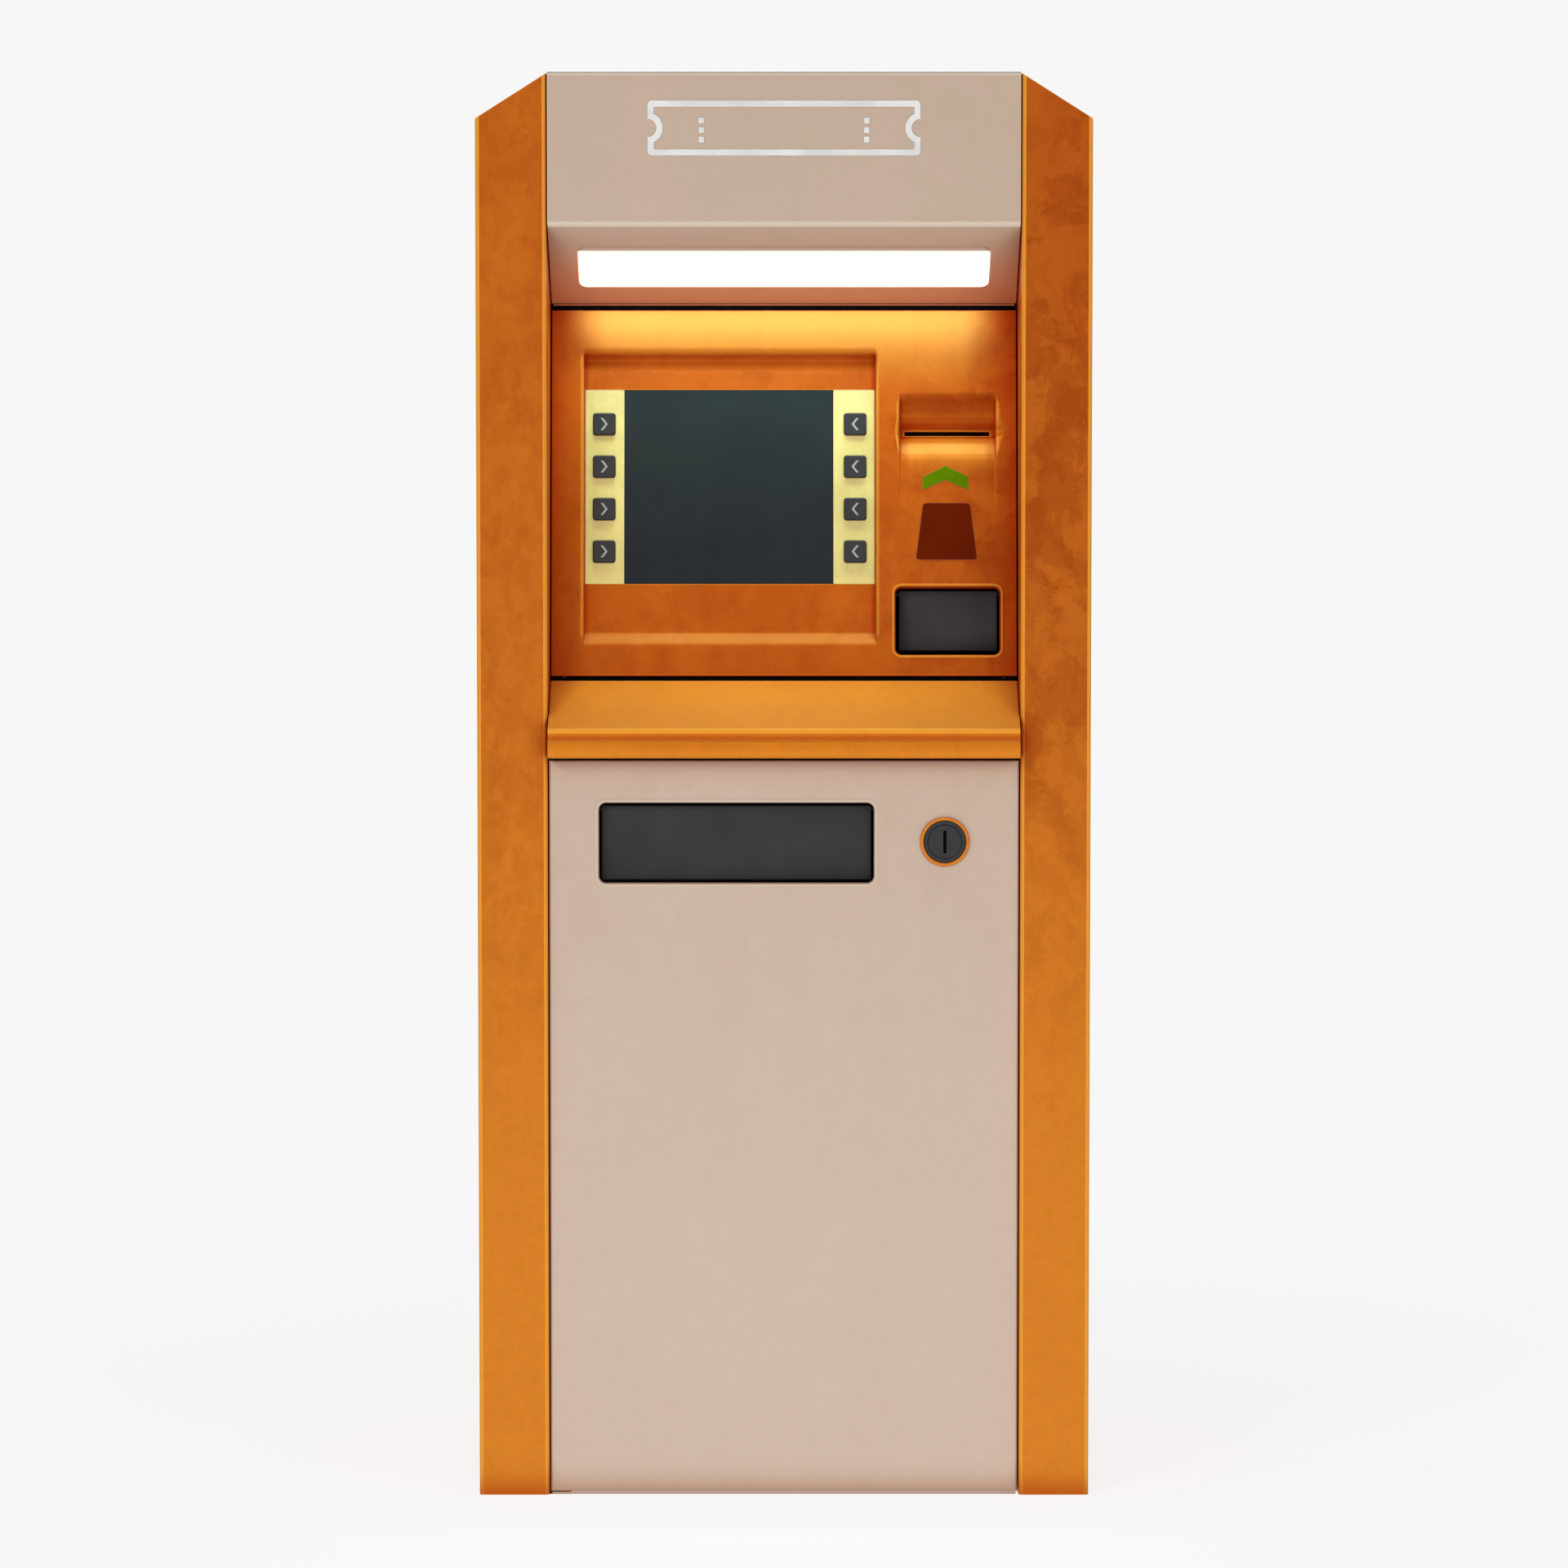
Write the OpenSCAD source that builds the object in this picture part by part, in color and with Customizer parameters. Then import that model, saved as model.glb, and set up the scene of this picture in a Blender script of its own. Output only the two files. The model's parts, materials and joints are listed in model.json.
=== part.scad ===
// Floor-standing ticket machine: two side cheeks, a lit header over a leaning fascia with a
// screen, eight keys, a ticket slot and a receipt flap, a shelf, and a hinged service door.
// Millimetres. +Z is up, the front faces -Y, and the origin is under the middle of the cabinet.

/* [Cabinet] */
// Overall height
cabinet_h = 1600; // [1590:5:1620]
// Overall width across both cheeks
cabinet_w = 688; // [684:1:692]
// Width of one side cheek
cheek_w = 79; // [77:1:81]
// Depth of the side cheeks
cheek_d = 540; // [530:5:560]
// How far the shelf's lip stands in front of the cheeks
lip_proud = 26; // [20:1:30]
// Thickness of the cheeks' sheet
cheek_t = 3; // [2:0.5:4]
// Radius of the cheeks' upright edges
cheek_r = 4.5; // [4:0.5:8]
// How far a cheek's roof falls towards its outer edge
roof_fall = 50; // [40:1:60]

/* [Fascia] */
// Lean of the fascia from upright, in degrees
fascia_lean = 8; // [6:0.5:10]
// Length of the fascia along its lean
fascia_len = 418.5; // [415:0.5:420]
// Thickness of the fascia's wall
fascia_t = 3; // [2.5:0.5:4]
// Depth of the screen's recess
recess_d = 10; // [8:0.5:12]
// Side of a square key
key_side = 25; // [23:0.5:26]
// Distance between key centres
key_pitch = 48.4; // [46:0.2:50]
// Travel of a key
key_travel = 2; // [1:0.5:2.5]
// Length of the ticket slot
slot_len = 96.6; // [90:0.2:100]
// Height of the ticket slot
slot_h = 4.4; // [4.2:0.1:5]

/* [Door] */
// Height of the top edge of the service door
door_top = 832; // [825:1:833]
// Height of the bottom edge of the service door
door_bottom = 3; // [3:1:6]
// Depth of the door's folded returns
door_return = 30; // [26:1:32]
// Radius of the door's hinge pins
door_pin_r = 3; // [2.5:0.5:3]
// Radius of the lock's plug
plug_r = 19; // [17:0.5:20]

/* [Base] */
// Thickness of the base plate
base_t = 8; // [6:1:10]
// Radius of the anchor holes
anchor_r = 7; // [6:0.5:8]
// Anchor holes: distance from side to side
anchor_x = 500; // [460:10:520]
// Anchor holes: distance from front to back
anchor_y = 300; // [280:10:320]
// Radius of the cable entry
entry_r = 30; // [25:1:32]

/* [Hidden] */
$fn = 48;
half_w = cabinet_w / 2;
inner = half_w - cheek_w;                 // half the opening between the cheeks
front_y = -(cheek_d + lip_proud) / 2 + lip_proud;
back_y = front_y + cheek_d;
lip_y = front_y - lip_proud;
gap = 1;                                  // gap beside panels set between the cheeks
panel_half = inner - gap;
run = 0.05;                               // radial clearance of a running pin
post = 40;                                // side of a frame tube
post_t = 3;
post_x = 272;                             // inner face of the posts
post_front = [-98, -58];
post_back = [237, 277];
post_top = 1540;

fascia_y = front_y + 72;
fascia_z = 921;
recess = [-228, 106, 37, 370];            // left, right, bottom, top on the fascia
window = [-225.5, 102.8, 107.3, 328.7];
glass_x = [-181.2, 56];
key_col = [-204, 80.7];                   // key columns
key_row0 = 289.3;                         // top row of keys
scoop = [126.2, 247, 200, 322];
scoop_shallow = 2;                        // depth of the hollow's lower half
slot_c = [185.2, 279.7];                  // middle of the ticket slot on the fascia
mouth = [126.2, 244.4, 26.2, 102.7];      // receipt mouth
mouth_d = 20;
reader_d = [26, 140];
flap_pin_r = 2.5;

door_y = front_y + 4;                     // front face of the door
pivot_in = 5;                             // pivot's distance from the door's two outer faces
bush_r = 4.8;                             // outside of the door's two hinge bushes
pivot_x = -panel_half + pivot_in;
pivot_y = door_y + pivot_in;
ticket_open = [-207.6, 100.8, 694, 784];
lock_c = [180.5, 740.6];
tray_back = -140;
surround_y = -216.5;

header_y = front_y + 2;
header_bend = 7;
header_low = 1433.76;                     // height where the header's front starts to bend under
slope = 33.5;                             // fall of the header's underside, in degrees
header_t = 2.5;
lens = [-231, 231, 40, 119];              // light opening on the header's slope
rear_y = back_y - 6;

orange = [0.80, 0.42, 0.12];
beige = [0.78, 0.70, 0.62];
steel = [0.62, 0.63, 0.65];
dark = [0.22, 0.21, 0.22];
white = [0.93, 0.93, 0.90];
yellow = [0.90, 0.82, 0.55];
green = [0.30, 0.52, 0.05];
maroon = [0.36, 0.11, 0.04];
board = [0.10, 0.35, 0.20];
paper = [0.92, 0.91, 0.86];

// ---------- shared shapes ----------

// A box given by its two ends along each axis.
module block(x, y, z) translate([x[0], y[0], z[0]]) cube([x[1] - x[0], y[1] - y[0], z[1] - z[0]]);

// A flat shape drawn in (y, z), drawn out along x.
module along_x(x) translate([x[0], 0, 0]) rotate([90, 0, 90]) linear_extrude(x[1] - x[0]) children();

// A flat shape drawn in (x, z), drawn out along y.
module along_y(y) translate([0, y[1], 0]) rotate([90, 0, 0]) linear_extrude(y[1] - y[0]) children();

module rod_x(x, y, z, r) translate([x[0], y, z]) rotate([0, 90, 0]) cylinder(h = x[1] - x[0], r = r);
module rod_y(x, y, z, r) translate([x, y[1], z]) rotate([90, 0, 0]) cylinder(h = y[1] - y[0], r = r);
module rod_z(x, y, z, r) translate([x, y, z[0]]) cylinder(h = z[1] - z[0], r = r);

module rounded(x, y, r) {
    translate([x[0] + r, y[0]]) square([x[1] - x[0] - 2 * r, y[1] - y[0]]);
    translate([x[0], y[0] + r]) square([x[1] - x[0], y[1] - y[0] - 2 * r]);
    for (cx = [x[0] + r, x[1] - r])
        for (cy = [y[0] + r, y[1] - r])
            translate([cx, cy]) circle(r);
}

// Points along an arc, for the bends of folded sheet.
function arc(c, r, a0, a1, n = 8) =
    [for (i = [0 : n]) c + r * [cos(a0 + (a1 - a0) * i / n), sin(a0 + (a1 - a0) * i / n)]];

module mirrored() {
    children();
    mirror([1, 0, 0]) children();
}

// The leaning fascia's own frame: x across, y into the machine, z up along the lean.
module on_fascia() translate([0, fascia_y, fascia_z]) rotate([-fascia_lean, 0, 0]) children();

// The header's sloping underside: x across, y down the slope, z into the header.
module on_slope()
    translate([0, header_y + header_bend * (1 - sin(slope)), slope_z()]) rotate([-slope, 0, 0]) children();

function slope_z() = header_low - header_bend * cos(slope);

// A point on a smooth curve through p, a fraction t of the way from point i to the next.
function on_curve(p, i, t) =
    let (a = p[max(i - 1, 0)], b = p[i], c = p[i + 1], d = p[min(i + 2, len(p) - 1)])
    0.5 * (2 * b + t * (c - a) + t * t * (2 * a - 5 * b + 4 * c - d) + t * t * t * (3 * b - a - 3 * c + d));

function smooth(p, n) =
    concat([for (i = [0 : len(p) - 2]) for (k = [0 : n - 1]) on_curve(p, i, k / n)], [p[len(p) - 1]]);

// A wire swept along a smooth curve through its route's points. The side vector must not
// run along the wire anywhere.
module wire(route, r, side_vector, n = 3, sides = 8) {
    p = smooth(route, n);
    last = len(p) - 1;
    rings = [for (i = [0 : last])
        let (v = p[min(i + 1, last)] - p[max(i - 1, 0)],
             a = cross(v, side_vector) / norm(cross(v, side_vector)),
             b = cross(v, a) / norm(cross(v, a)))
        for (k = [0 : sides - 1]) p[i] + r * (cos(360 * k / sides) * a + sin(360 * k / sides) * b)];
    walls = [for (i = [0 : last - 1]) for (k = [0 : sides - 1])
        let (m = (k + 1) % sides) [i * sides + k, (i + 1) * sides + k, (i + 1) * sides + m, i * sides + m]];
    polyhedron(rings, concat(walls,
        [[for (k = [0 : sides - 1]) k], [for (k = [sides - 1 : -1 : 0]) last * sides + k]]));
}

// ---------- structure ----------

rail_screws = [for (x = [-240, -120, 0, 120, 240]) for (z = [80, 1520]) [x, z]];

module base_plate() {
    color(steel) difference() {
        linear_extrude(base_t) {
            translate([-post_x - post - 20, -100]) square([2 * (post_x + post + 20), rear_y + 100]);
            translate([-262, -212]) square([524, 113]);
        }
        for (x = [-anchor_x / 2, anchor_x / 2])
            for (y = [30 - anchor_y / 2, 30 + anchor_y / 2])
                rod_z(x, y, [-1, base_t + 1], anchor_r);
        rod_z(0, 150, [-1, base_t + 1], entry_r);
    }
}

module tube_z(x, y, z) difference() {
    block(x, y, z);
    block([x[0] + post_t, x[1] - post_t], [y[0] + post_t, y[1] - post_t], [z[0] - 1, z[1] + 1]);
}

module frame_posts() {
    color(steel) mirrored() {
        tube_z([post_x, post_x + post], post_front, [base_t, post_top]);
        tube_z([post_x, post_x + post], post_back, [base_t, post_top]);
    }
}

module tube_x(x, y, z) difference() {
    block(x, y, z);
    block([x[0] - 1, x[1] + 1], [y[0] + post_t, y[1] - post_t], [z[0] + post_t, z[1] - post_t]);
}

module frame_rails() {
    across = [-post_x, post_x];
    color(steel) {
        mirrored() for (z = [60, 860, 1480])
            difference() {
                block([post_x, post_x + post], [post_front[1], post_back[0]], [z, z + post]);
                block([post_x + post_t, post_x + post - post_t], [post_front[1] - 1, post_back[0] + 1],
                      [z + post_t, z + post - post_t]);
            }
        tube_x(across, post_front, [1500, 1540]);
        tube_x(across, post_front, [893, 913]);
        for (z = [1010, 1300]) tube_x(across, post_back, [z, z + post]);
        for (z = [60, 1500])
            difference() {
                tube_x(across, post_back, [z, z + post]);
                for (s = rail_screws) rod_y(s[0], [post_back[1] - 5, post_back[1] + 1], s[1], 2.5);
            }
    }
}

module equipment_shelf() {
    color(steel) {
        difference() {
            block([-post_x, post_x], [-98, 236], [794, 797]);
            block([-260, -230], [-10, 20], [793, 798]);
        }
        mirrored() block([post_x - 3, post_x], [-98, 236], [797, 822]);
    }
}

// ---------- cheeks, top and rear ----------

module cheek_outline(inset) {
    r = cheek_r - inset;
    rounded([inner + inset, half_w - inset], [front_y + inset, back_y - inset], r);
}

// Region under the cheek's falling roof, lowered by drop.
module under_roof(drop) {
    along_y([front_y - 1, back_y + 1])
        polygon([[inner - 1, -1], [half_w + 1, -1],
                 [half_w + 1, cabinet_h - 2 - roof_fall - drop - roof_fall / cheek_w],
                 [inner - 1, cabinet_h - 2 - drop + roof_fall / cheek_w]]);
}

module cheek() difference() {
    intersection() {
        linear_extrude(cabinet_h) cheek_outline(0);
        under_roof(0);
    }
    intersection() {
        translate([0, 0, -1]) linear_extrude(cabinet_h) cheek_outline(cheek_t);
        under_roof(cheek_t);
    }
    intersection() {
        block([inner - 1, inner + 9], [front_y + 150, back_y - cheek_t], [-1, cabinet_h]);
        under_roof(cheek_t);
    }
}

module right_cheek() color(orange) cheek();
module left_cheek() color(orange) mirror([1, 0, 0]) cheek();

module top_panel() {
    color(beige) block([-inner, inner], [header_y + 20, back_y], [cabinet_h - 3, cabinet_h]);
}

module vent_slots(z0, rows) {
    for (i = [0 : rows - 1])
        for (x = [-130, 10])
            block([x, x + 120], [rear_y - 1, rear_y + 4], [z0 + 16 * i, z0 + 16 * i + 7]);
}

module rear_panel() {
    color(beige) difference() {
        block([-panel_half, panel_half], [rear_y, rear_y + 3], [12, cabinet_h - 4]);
        vent_slots(130, 7);
        for (i = [-3 : 3])
            block([-50, 50], [rear_y - 1, rear_y + 4], [1420 + 15 * i - 3.5, 1420 + 15 * i + 3.5]);
        for (s = rail_screws) rod_y(s[0], [rear_y - 1, rear_y + 4], s[1], 2.5);
    }
}

module rear_screws() {
    color(steel) for (s = rail_screws) {
        rod_y(s[0], [rear_y - 8, rear_y + 3], s[1], 2.48);
        difference() {
            rod_y(s[0], [rear_y + 3, rear_y + 5.5], s[1], 5);
            along_y([rear_y + 4, rear_y + 6])
                translate([s[0], s[1]]) circle(2, $fn = 6);
        }
    }
}

// ---------- header ----------

function header_outer() = concat(
    [[header_y + 20, cabinet_h]],
    arc([header_y + 4, cabinet_h - 4], 4, 90, 180),
    arc([header_y + header_bend, header_low], header_bend, 180, 270 - slope));
function header_inner() = concat(
    arc([header_y + header_bend, header_low], header_bend - header_t, 270 - slope, 180),
    arc([header_y + 4, cabinet_h - 4], 4 - header_t, 180, 90),
    [[header_y + 20, cabinet_h - header_t]]);
header_back = [header_y + 132, slope_z() - (132 - header_bend * (1 - sin(slope))) * tan(slope)];

module header_cover() {
    color(beige) difference() {
        along_x([-panel_half, panel_half])
            polygon(concat(header_outer(),
                [header_back, header_back + header_t * [sin(slope), cos(slope)]], header_inner()));
        on_slope() translate([0, 0, -1]) linear_extrude(header_t + 2)
            rounded([lens[0], lens[1]], [lens[2], lens[3]], 9);
    }
}

// A wide admission ticket with notched ends and two dotted tear lines.
module header_pictogram() {
    mid = 1537.5;
    color(white) along_y([header_y - 0.6, header_y])
        difference() {
            rounded([-152, 152], [mid - 30.5, mid + 30.5], 5);
            difference() {
                rounded([-145, 145], [mid - 23.5, mid + 23.5], 2);
                for (x = [-152, 152]) translate([x, mid]) circle(17);
            }
            for (x = [-152, 152]) translate([x, mid]) circle(10);
        }
    color(white) along_y([header_y - 0.6, header_y])
        for (x = [-92, 92])
            for (z = [-16, -5.5, 5]) translate([x - 3, mid + z]) square([6, 6.5]);
}

module light_tray() {
    color(white) on_slope() difference() {
        block([-238, 238], [lens[2] - 7, lens[3] + 7], [5, 45]);
        block([-236, 236], [lens[2] - 5, lens[3] + 5], [4, 43]);
    }
}

module led_board() {
    color(board) on_slope() {
        block([-220, 220], [72, 88], [41.4, 43]);
        for (x = [-198 : 36 : 198]) block([x - 2.5, x + 2.5], [77.5, 82.5], [40, 41.4]);
    }
}

module light_lens() {
    rim = header_t + 0.1;
    color(white) on_slope() {
        linear_extrude(rim) rounded([lens[0] + 0.3, lens[1] - 0.3], [lens[2] + 0.3, lens[3] - 0.3], 8.7);
        translate([0, 0, rim]) linear_extrude(5 - rim)
            rounded([lens[0] - 6, lens[1] + 6], [lens[2] - 6, lens[3] + 6], 12);
    }
}

// ---------- fascia, screen and keys ----------

// Section of the screen's recess: a sloping ledge below, a rolled gutter above.
module recess_section() {
    polygon(concat(
        [[-1, recess[2]], [0, recess[2]], [recess_d, 51], [recess_d, 350]],
        arc([recess_d + 1.5, 362], 4, -60, 90),
        [[4, 366.5], [0, recess[3]], [-1, recess[3]]]));
}

// Section of the hollow round the ticket slot: an easy ramp below and a brow above.
module scoop_section() {
    polygon(concat(
        [[-1, scoop[2]], [0, scoop[2]], [scoop_shallow, scoop[2] + 6]],
        [for (i = [0 : 8]) [scoop_shallow + 18 * pow(i / 8, 2), 243 + 32 * i / 8]],
        [[22, 275.5], [22, 284], [16, 291], [13, 297], [12, 303], [13, 308], [8, 315], [0, scoop[3]],
         [-1, scoop[3]]]));
}

module fascia() {
    color(orange) on_fascia() difference() {
        union() {
            block([-panel_half + 0.5, panel_half - 0.5], [0, fascia_t], [2, fascia_len]);
            block([-panel_half + 0.5, panel_half - 0.5], [0, 22], [fascia_len - fascia_t, fascia_len]);
            block([-panel_half + 0.5, panel_half - 0.5], [0, 22], [2, 2 + fascia_t]);
            block([recess[0] - 3, recess[1] + 3], [0, recess_d + 3], [recess[2] - 3, recess[3] + 3]);
            block([recess[0] - 3, recess[1] + 3], [recess_d + 3, 19], [350, recess[3] + 3]);
            block([scoop[0] - 3, scoop[1] + 3], [0, 24], [scoop[2] - 3, scoop[3] + 3]);
            block([mouth[0] - 3, mouth[1] + 3], [0, mouth_d], [mouth[2] - 3, mouth[3] + 3]);
        }
        along_x([recess[0], recess[1]]) recess_section();
        block([window[0], window[1]], [recess_d - 1, 25], [window[2], window[3]]);
        along_x([scoop[0], scoop[1]]) scoop_section();
        along_y([20, 30]) rounded([slot_c[0] - 50.5, slot_c[0] + 50.5], [slot_c[1] - 4, slot_c[1] + 4], 3.9);
        along_y([-1, mouth_d + 1]) rounded([mouth[0], mouth[1]], [mouth[2], mouth[3]], 7);
    }
}

module display_glass() {
    color(dark) on_fascia()
        block([glass_x[0] + 0.1, glass_x[1] - 0.1], [recess_d + 0.3, recess_d + 3.3],
              [window[2] + 0.2, window[3] - 0.2]);
}

module display_module() {
    color(steel) on_fascia() {
        block([glass_x[0] + 2, glass_x[1] - 2], [recess_d + 3.3, recess_d + 38],
              [window[2] - 8, window[3] + 8]);
        block([-120, -20], [recess_d + 38, recess_d + 52], [150, 240]);
    }
}

module key_strips() {
    color(yellow) on_fascia()
        for (side = [0, 1])
            difference() {
                x = side == 0 ? [window[0] + 0.2, glass_x[0] - 0.1] : [glass_x[1] + 0.1, window[1] - 0.2];
                block(x, [recess_d, recess_d + 3.3], [window[2] + 0.2, window[3] - 0.2]);
                for (i = [0 : 3])
                    key_prism(side, i, key_side / 2 + 0.4, 3.3, [recess_d - 1, recess_d + 5]);
            }
}

module key_prism(side, i, half, r, y) {
    z = key_row0 - key_pitch * i;
    along_y(y) rounded([key_col[side] - half, key_col[side] + half], [z - half, z + half], r);
}

module key(side, i) {
    z = key_row0 - key_pitch * i;
    color(dark) on_fascia() {
        key_prism(side, i, key_side / 2, 3, [recess_d - 3.5, recess_d + 3.6]);
        key_prism(side, i, key_side / 2 + 2, 3, [recess_d + 3.6, recess_d + 5]);
        rod_y(key_col[side], [recess_d + 5, recess_d + 10], z, 4);
    }
}

module key_left_1() key(0, 0);
module key_left_2() key(0, 1);
module key_left_3() key(0, 2);
module key_left_4() key(0, 3);
module key_right_1() key(1, 0);
module key_right_2() key(1, 1);
module key_right_3() key(1, 2);
module key_right_4() key(1, 3);

module key_boards() {
    back = recess_d + 10 + key_travel + 4;
    color(board) on_fascia() for (side = [0, 1]) {
        c = key_col[side];
        block([c - 19, c + 19], [back, back + 1.6], [key_row0 - 3 * key_pitch - 22, key_row0 + 22]);
        for (i = [0 : 3]) {
            z = key_row0 - key_pitch * i;
            block([c - 6, c + 6], [back - 3.5, back], [z - 6, z + 6]);
        }
        for (i = [0.5, 2.5])
            rod_y(c, [recess_d + 3.3, back], key_row0 - key_pitch * i, 3);
    }
}

// ---------- ticket slot ----------

module slot_bezel() {
    color(orange) on_fascia() along_y([21.2, reader_d[0]]) difference() {
        rounded([slot_c[0] - 50.4, slot_c[0] + 50.4], [slot_c[1] - 3.9, slot_c[1] + 3.9], 3.8);
        rounded([slot_c[0] - slot_len / 2, slot_c[0] + slot_len / 2],
                [slot_c[1] - slot_h / 2, slot_c[1] + slot_h / 2], 1.5);
    }
}

module ticket_reader() {
    x = [128, 244];
    color(steel) on_fascia() {
        block(x, reader_d, [255, slot_c[1] - slot_h / 2]);
        difference() {
            block(x, reader_d, [slot_c[1] + slot_h / 2, 312]);
            block([slot_c[0] - 32, slot_c[0] + 32], [62, 84], [slot_c[1], 303]);
            rod_x([slot_c[0] - 45, slot_c[0] + 45], 73, slot_c[1] + 11, 3 + run);
        }
        for (side = [[128, slot_c[0] - slot_len / 2], [slot_c[0] + slot_len / 2, 244]])
            block(side, [reader_d[0] + 4, reader_d[1]], [slot_c[1] - slot_h / 2, slot_c[1] + slot_h / 2]);
    }
}

module feed_roller() {
    color(dark) on_fascia() {
        rod_x([slot_c[0] - 30, slot_c[0] + 30], 73, slot_c[1] + 11, 8);
        rod_x([slot_c[0] - 44, slot_c[0] + 44], 73, slot_c[1] + 11, 3);
    }
}

// A blunt chevron that points up to the slot.
module insert_arrow() {
    color(green) on_fascia() along_y([scoop_shallow - 0.4, scoop_shallow])
        translate([183, 227])
            polygon([[-26, -13.5], [-26, 1.4], [0, 14.2], [26, 1.4], [26, -13.5], [0, -2.2]]);
}

module card_label() {
    color(maroon) on_fascia() along_y([-0.4, 0])
        polygon(concat(
            arc([-31, 4] + [184, 133.4], 3.5, 270, 190, 4), arc([-23, 61] + [184, 133.4], 4, 175, 90, 4),
            arc([23, 61] + [184, 133.4], 4, 90, 5, 4), arc([31, 4] + [184, 133.4], 3.5, -10, -90, 4)));
}

// ---------- receipt mouth ----------

receipt_pin_y = fascia_y + 97 * sin(fascia_lean) + 26 * cos(fascia_lean);
receipt_pin_z = fascia_z + 97 * cos(fascia_lean) - 26 * sin(fascia_lean);

module hanging_flap(x, y, z, drop, barrel_r) {
    difference() {
        union() {
            block(x, [y - 1.5, y + 1.5], [z - drop, z]);
            rod_x(x, y, z, barrel_r);
        }
        rod_x([x[0] - 1, x[1] + 1], y, z, flap_pin_r + run);
    }
}

module receipt_flap() color(dark) hanging_flap([130.8, 242], receipt_pin_y, receipt_pin_z, 64, 4);

module receipt_flap_pin() color(steel) rod_x([124.2, 246.4], receipt_pin_y, receipt_pin_z, flap_pin_r);

module receipt_bin() {
    color(dark) on_fascia() difference() {
        block([122.2, 248.4], [mouth_d, 120], [12, 112]);
        block([124.2, 246.4], [mouth_d - 1, 118], [14, 110]);
        block([145, 226], [70, 90], [109, 113]);
    }
}

receipt_spool = [186, 172];

module receipt_printer() {
    color(steel) on_fascia() {
        difference() {
            block([143, 228], [30, 140], [112, 190]);
            block([146, 225], [72, 88], [111, 125]);
        }
        for (x = [143, 225]) block([x, x + 3], [140, 196], [150, 185]);
        rod_x([146, 225], receipt_spool[0], receipt_spool[1], 6);
    }
}

module receipt_roll() {
    color(paper) on_fascia() difference() {
        rod_x([147, 224], receipt_spool[0], receipt_spool[1], 38);
        rod_x([146, 225], receipt_spool[0], receipt_spool[1], 6 + run);
    }
}

// ---------- shelf ----------

nose = [lip_y + 8.5, 865.5];              // centre of the nose at the front of the shelf
nose_r = 4.5;
shelf_fall = 27.6;
shelf_back = [fascia_y, nose[1] + nose_r * cos(shelf_fall)
    + (fascia_y - nose[0] + nose_r * sin(shelf_fall)) * tan(shelf_fall)];

// The shelf's section, t inside its face: slope, nose, groove, and a flared lower band.
function shelf_path(t) = concat(
    [shelf_back + t * [sin(shelf_fall), -cos(shelf_fall)]],
    arc(nose, nose_r - t, 90 + shelf_fall, 180),
    [[lip_y + 5 + 0.7 * t, 859.5 - 0.3 * t], [lip_y + t, 851.5 - 0.4 * t]],
    arc([lip_y + 6, 842], 6 - t, 180, 270),
    [[front_y + 2, 836 + t]]);

module shelf() {
    sheet = 2.5;
    inside = shelf_path(sheet);
    n = len(inside);
    color(orange) {
        along_x([-panel_half, panel_half])
            polygon(concat(shelf_path(0), [for (i = [n - 1 : -1 : 0]) inside[i]]));
        mirrored() along_x([panel_half - sheet, panel_half])
            polygon(concat([for (i = [1 : n - 1]) inside[i]], [[front_y + 2, 876]]));
    }
}

// ---------- service door ----------

module door_surround() {
    color(steel) along_y([surround_y, surround_y + 3]) difference() {
        translate([-inner, 8]) square([2 * inner, door_top - 8]);
        translate([-inner + 24, 40]) square([2 * inner - 48, door_top - 64]);
    }
}

module door_hinges() {
    color(steel) {
        block([-inner, pivot_x + 18], [front_y + 5, -212], [0, door_bottom - 1]);
        rod_z(pivot_x, pivot_y, [door_bottom - 1, door_bottom + 14], door_pin_r);
        block([-inner, pivot_x + 18], [front_y + 5, -205], [door_top + 1.5, door_top + 7]);
        rod_z(pivot_x, pivot_y, [door_top - 16, door_top + 1.5], door_pin_r);
    }
}

// Plan of the door's folded skin; the hinge edge is round about the pivot.
function door_plan(t) = concat(
    [[-panel_half + t, door_y + door_return]],
    arc([pivot_x, pivot_y], pivot_in - t, 180, 270),
    arc([panel_half - 4, door_y + 4], 4 - t, 270, 360),
    [[panel_half - t, door_y + door_return]]);

module service_door() {
    t = 2;
    color(beige) difference() {
        union() {
            translate([0, 0, door_bottom]) linear_extrude(door_top - door_bottom) difference() {
                polygon(door_plan(0));
                polygon(concat([[-panel_half + t, door_y + door_return + 1]],
                    arc([pivot_x, pivot_y], pivot_in - t, 180, 270),
                    arc([panel_half - 4, door_y + 4], 4 - t, 270, 360),
                    [[panel_half - t, door_y + door_return + 1]]));
            }
            for (z = [door_bottom, door_top - t])
                translate([0, 0, z]) linear_extrude(t) polygon(door_plan(0));
            rod_z(pivot_x, pivot_y, [door_bottom, door_bottom + 15], bush_r);
            rod_z(pivot_x, pivot_y, [door_top - 17, door_top], bush_r);
        }
        rod_z(pivot_x, pivot_y, [door_bottom - 1, door_bottom + 16], door_pin_r + run);
        rod_z(pivot_x, pivot_y, [door_top - 18, door_top + 1], door_pin_r + run);
        along_y([door_y - 1, door_y + 5])
            rounded([ticket_open[0], ticket_open[1]], [ticket_open[2], ticket_open[3]], 8);
        rod_y(lock_c[0], [door_y - 1, door_y + 5], lock_c[1], 23.9);
    }
}

module door_stiffeners() {
    y = [door_y + 2, door_y + 22];
    color(steel) for (z = [150, 420]) {
        block([-256, 256], [y[1] - 2, y[1]], [z, z + 40]);
        for (e = [z, z + 38]) block([-256, 256], [y[0], y[1] - 2], [e, e + 2]);
    }
}

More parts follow.
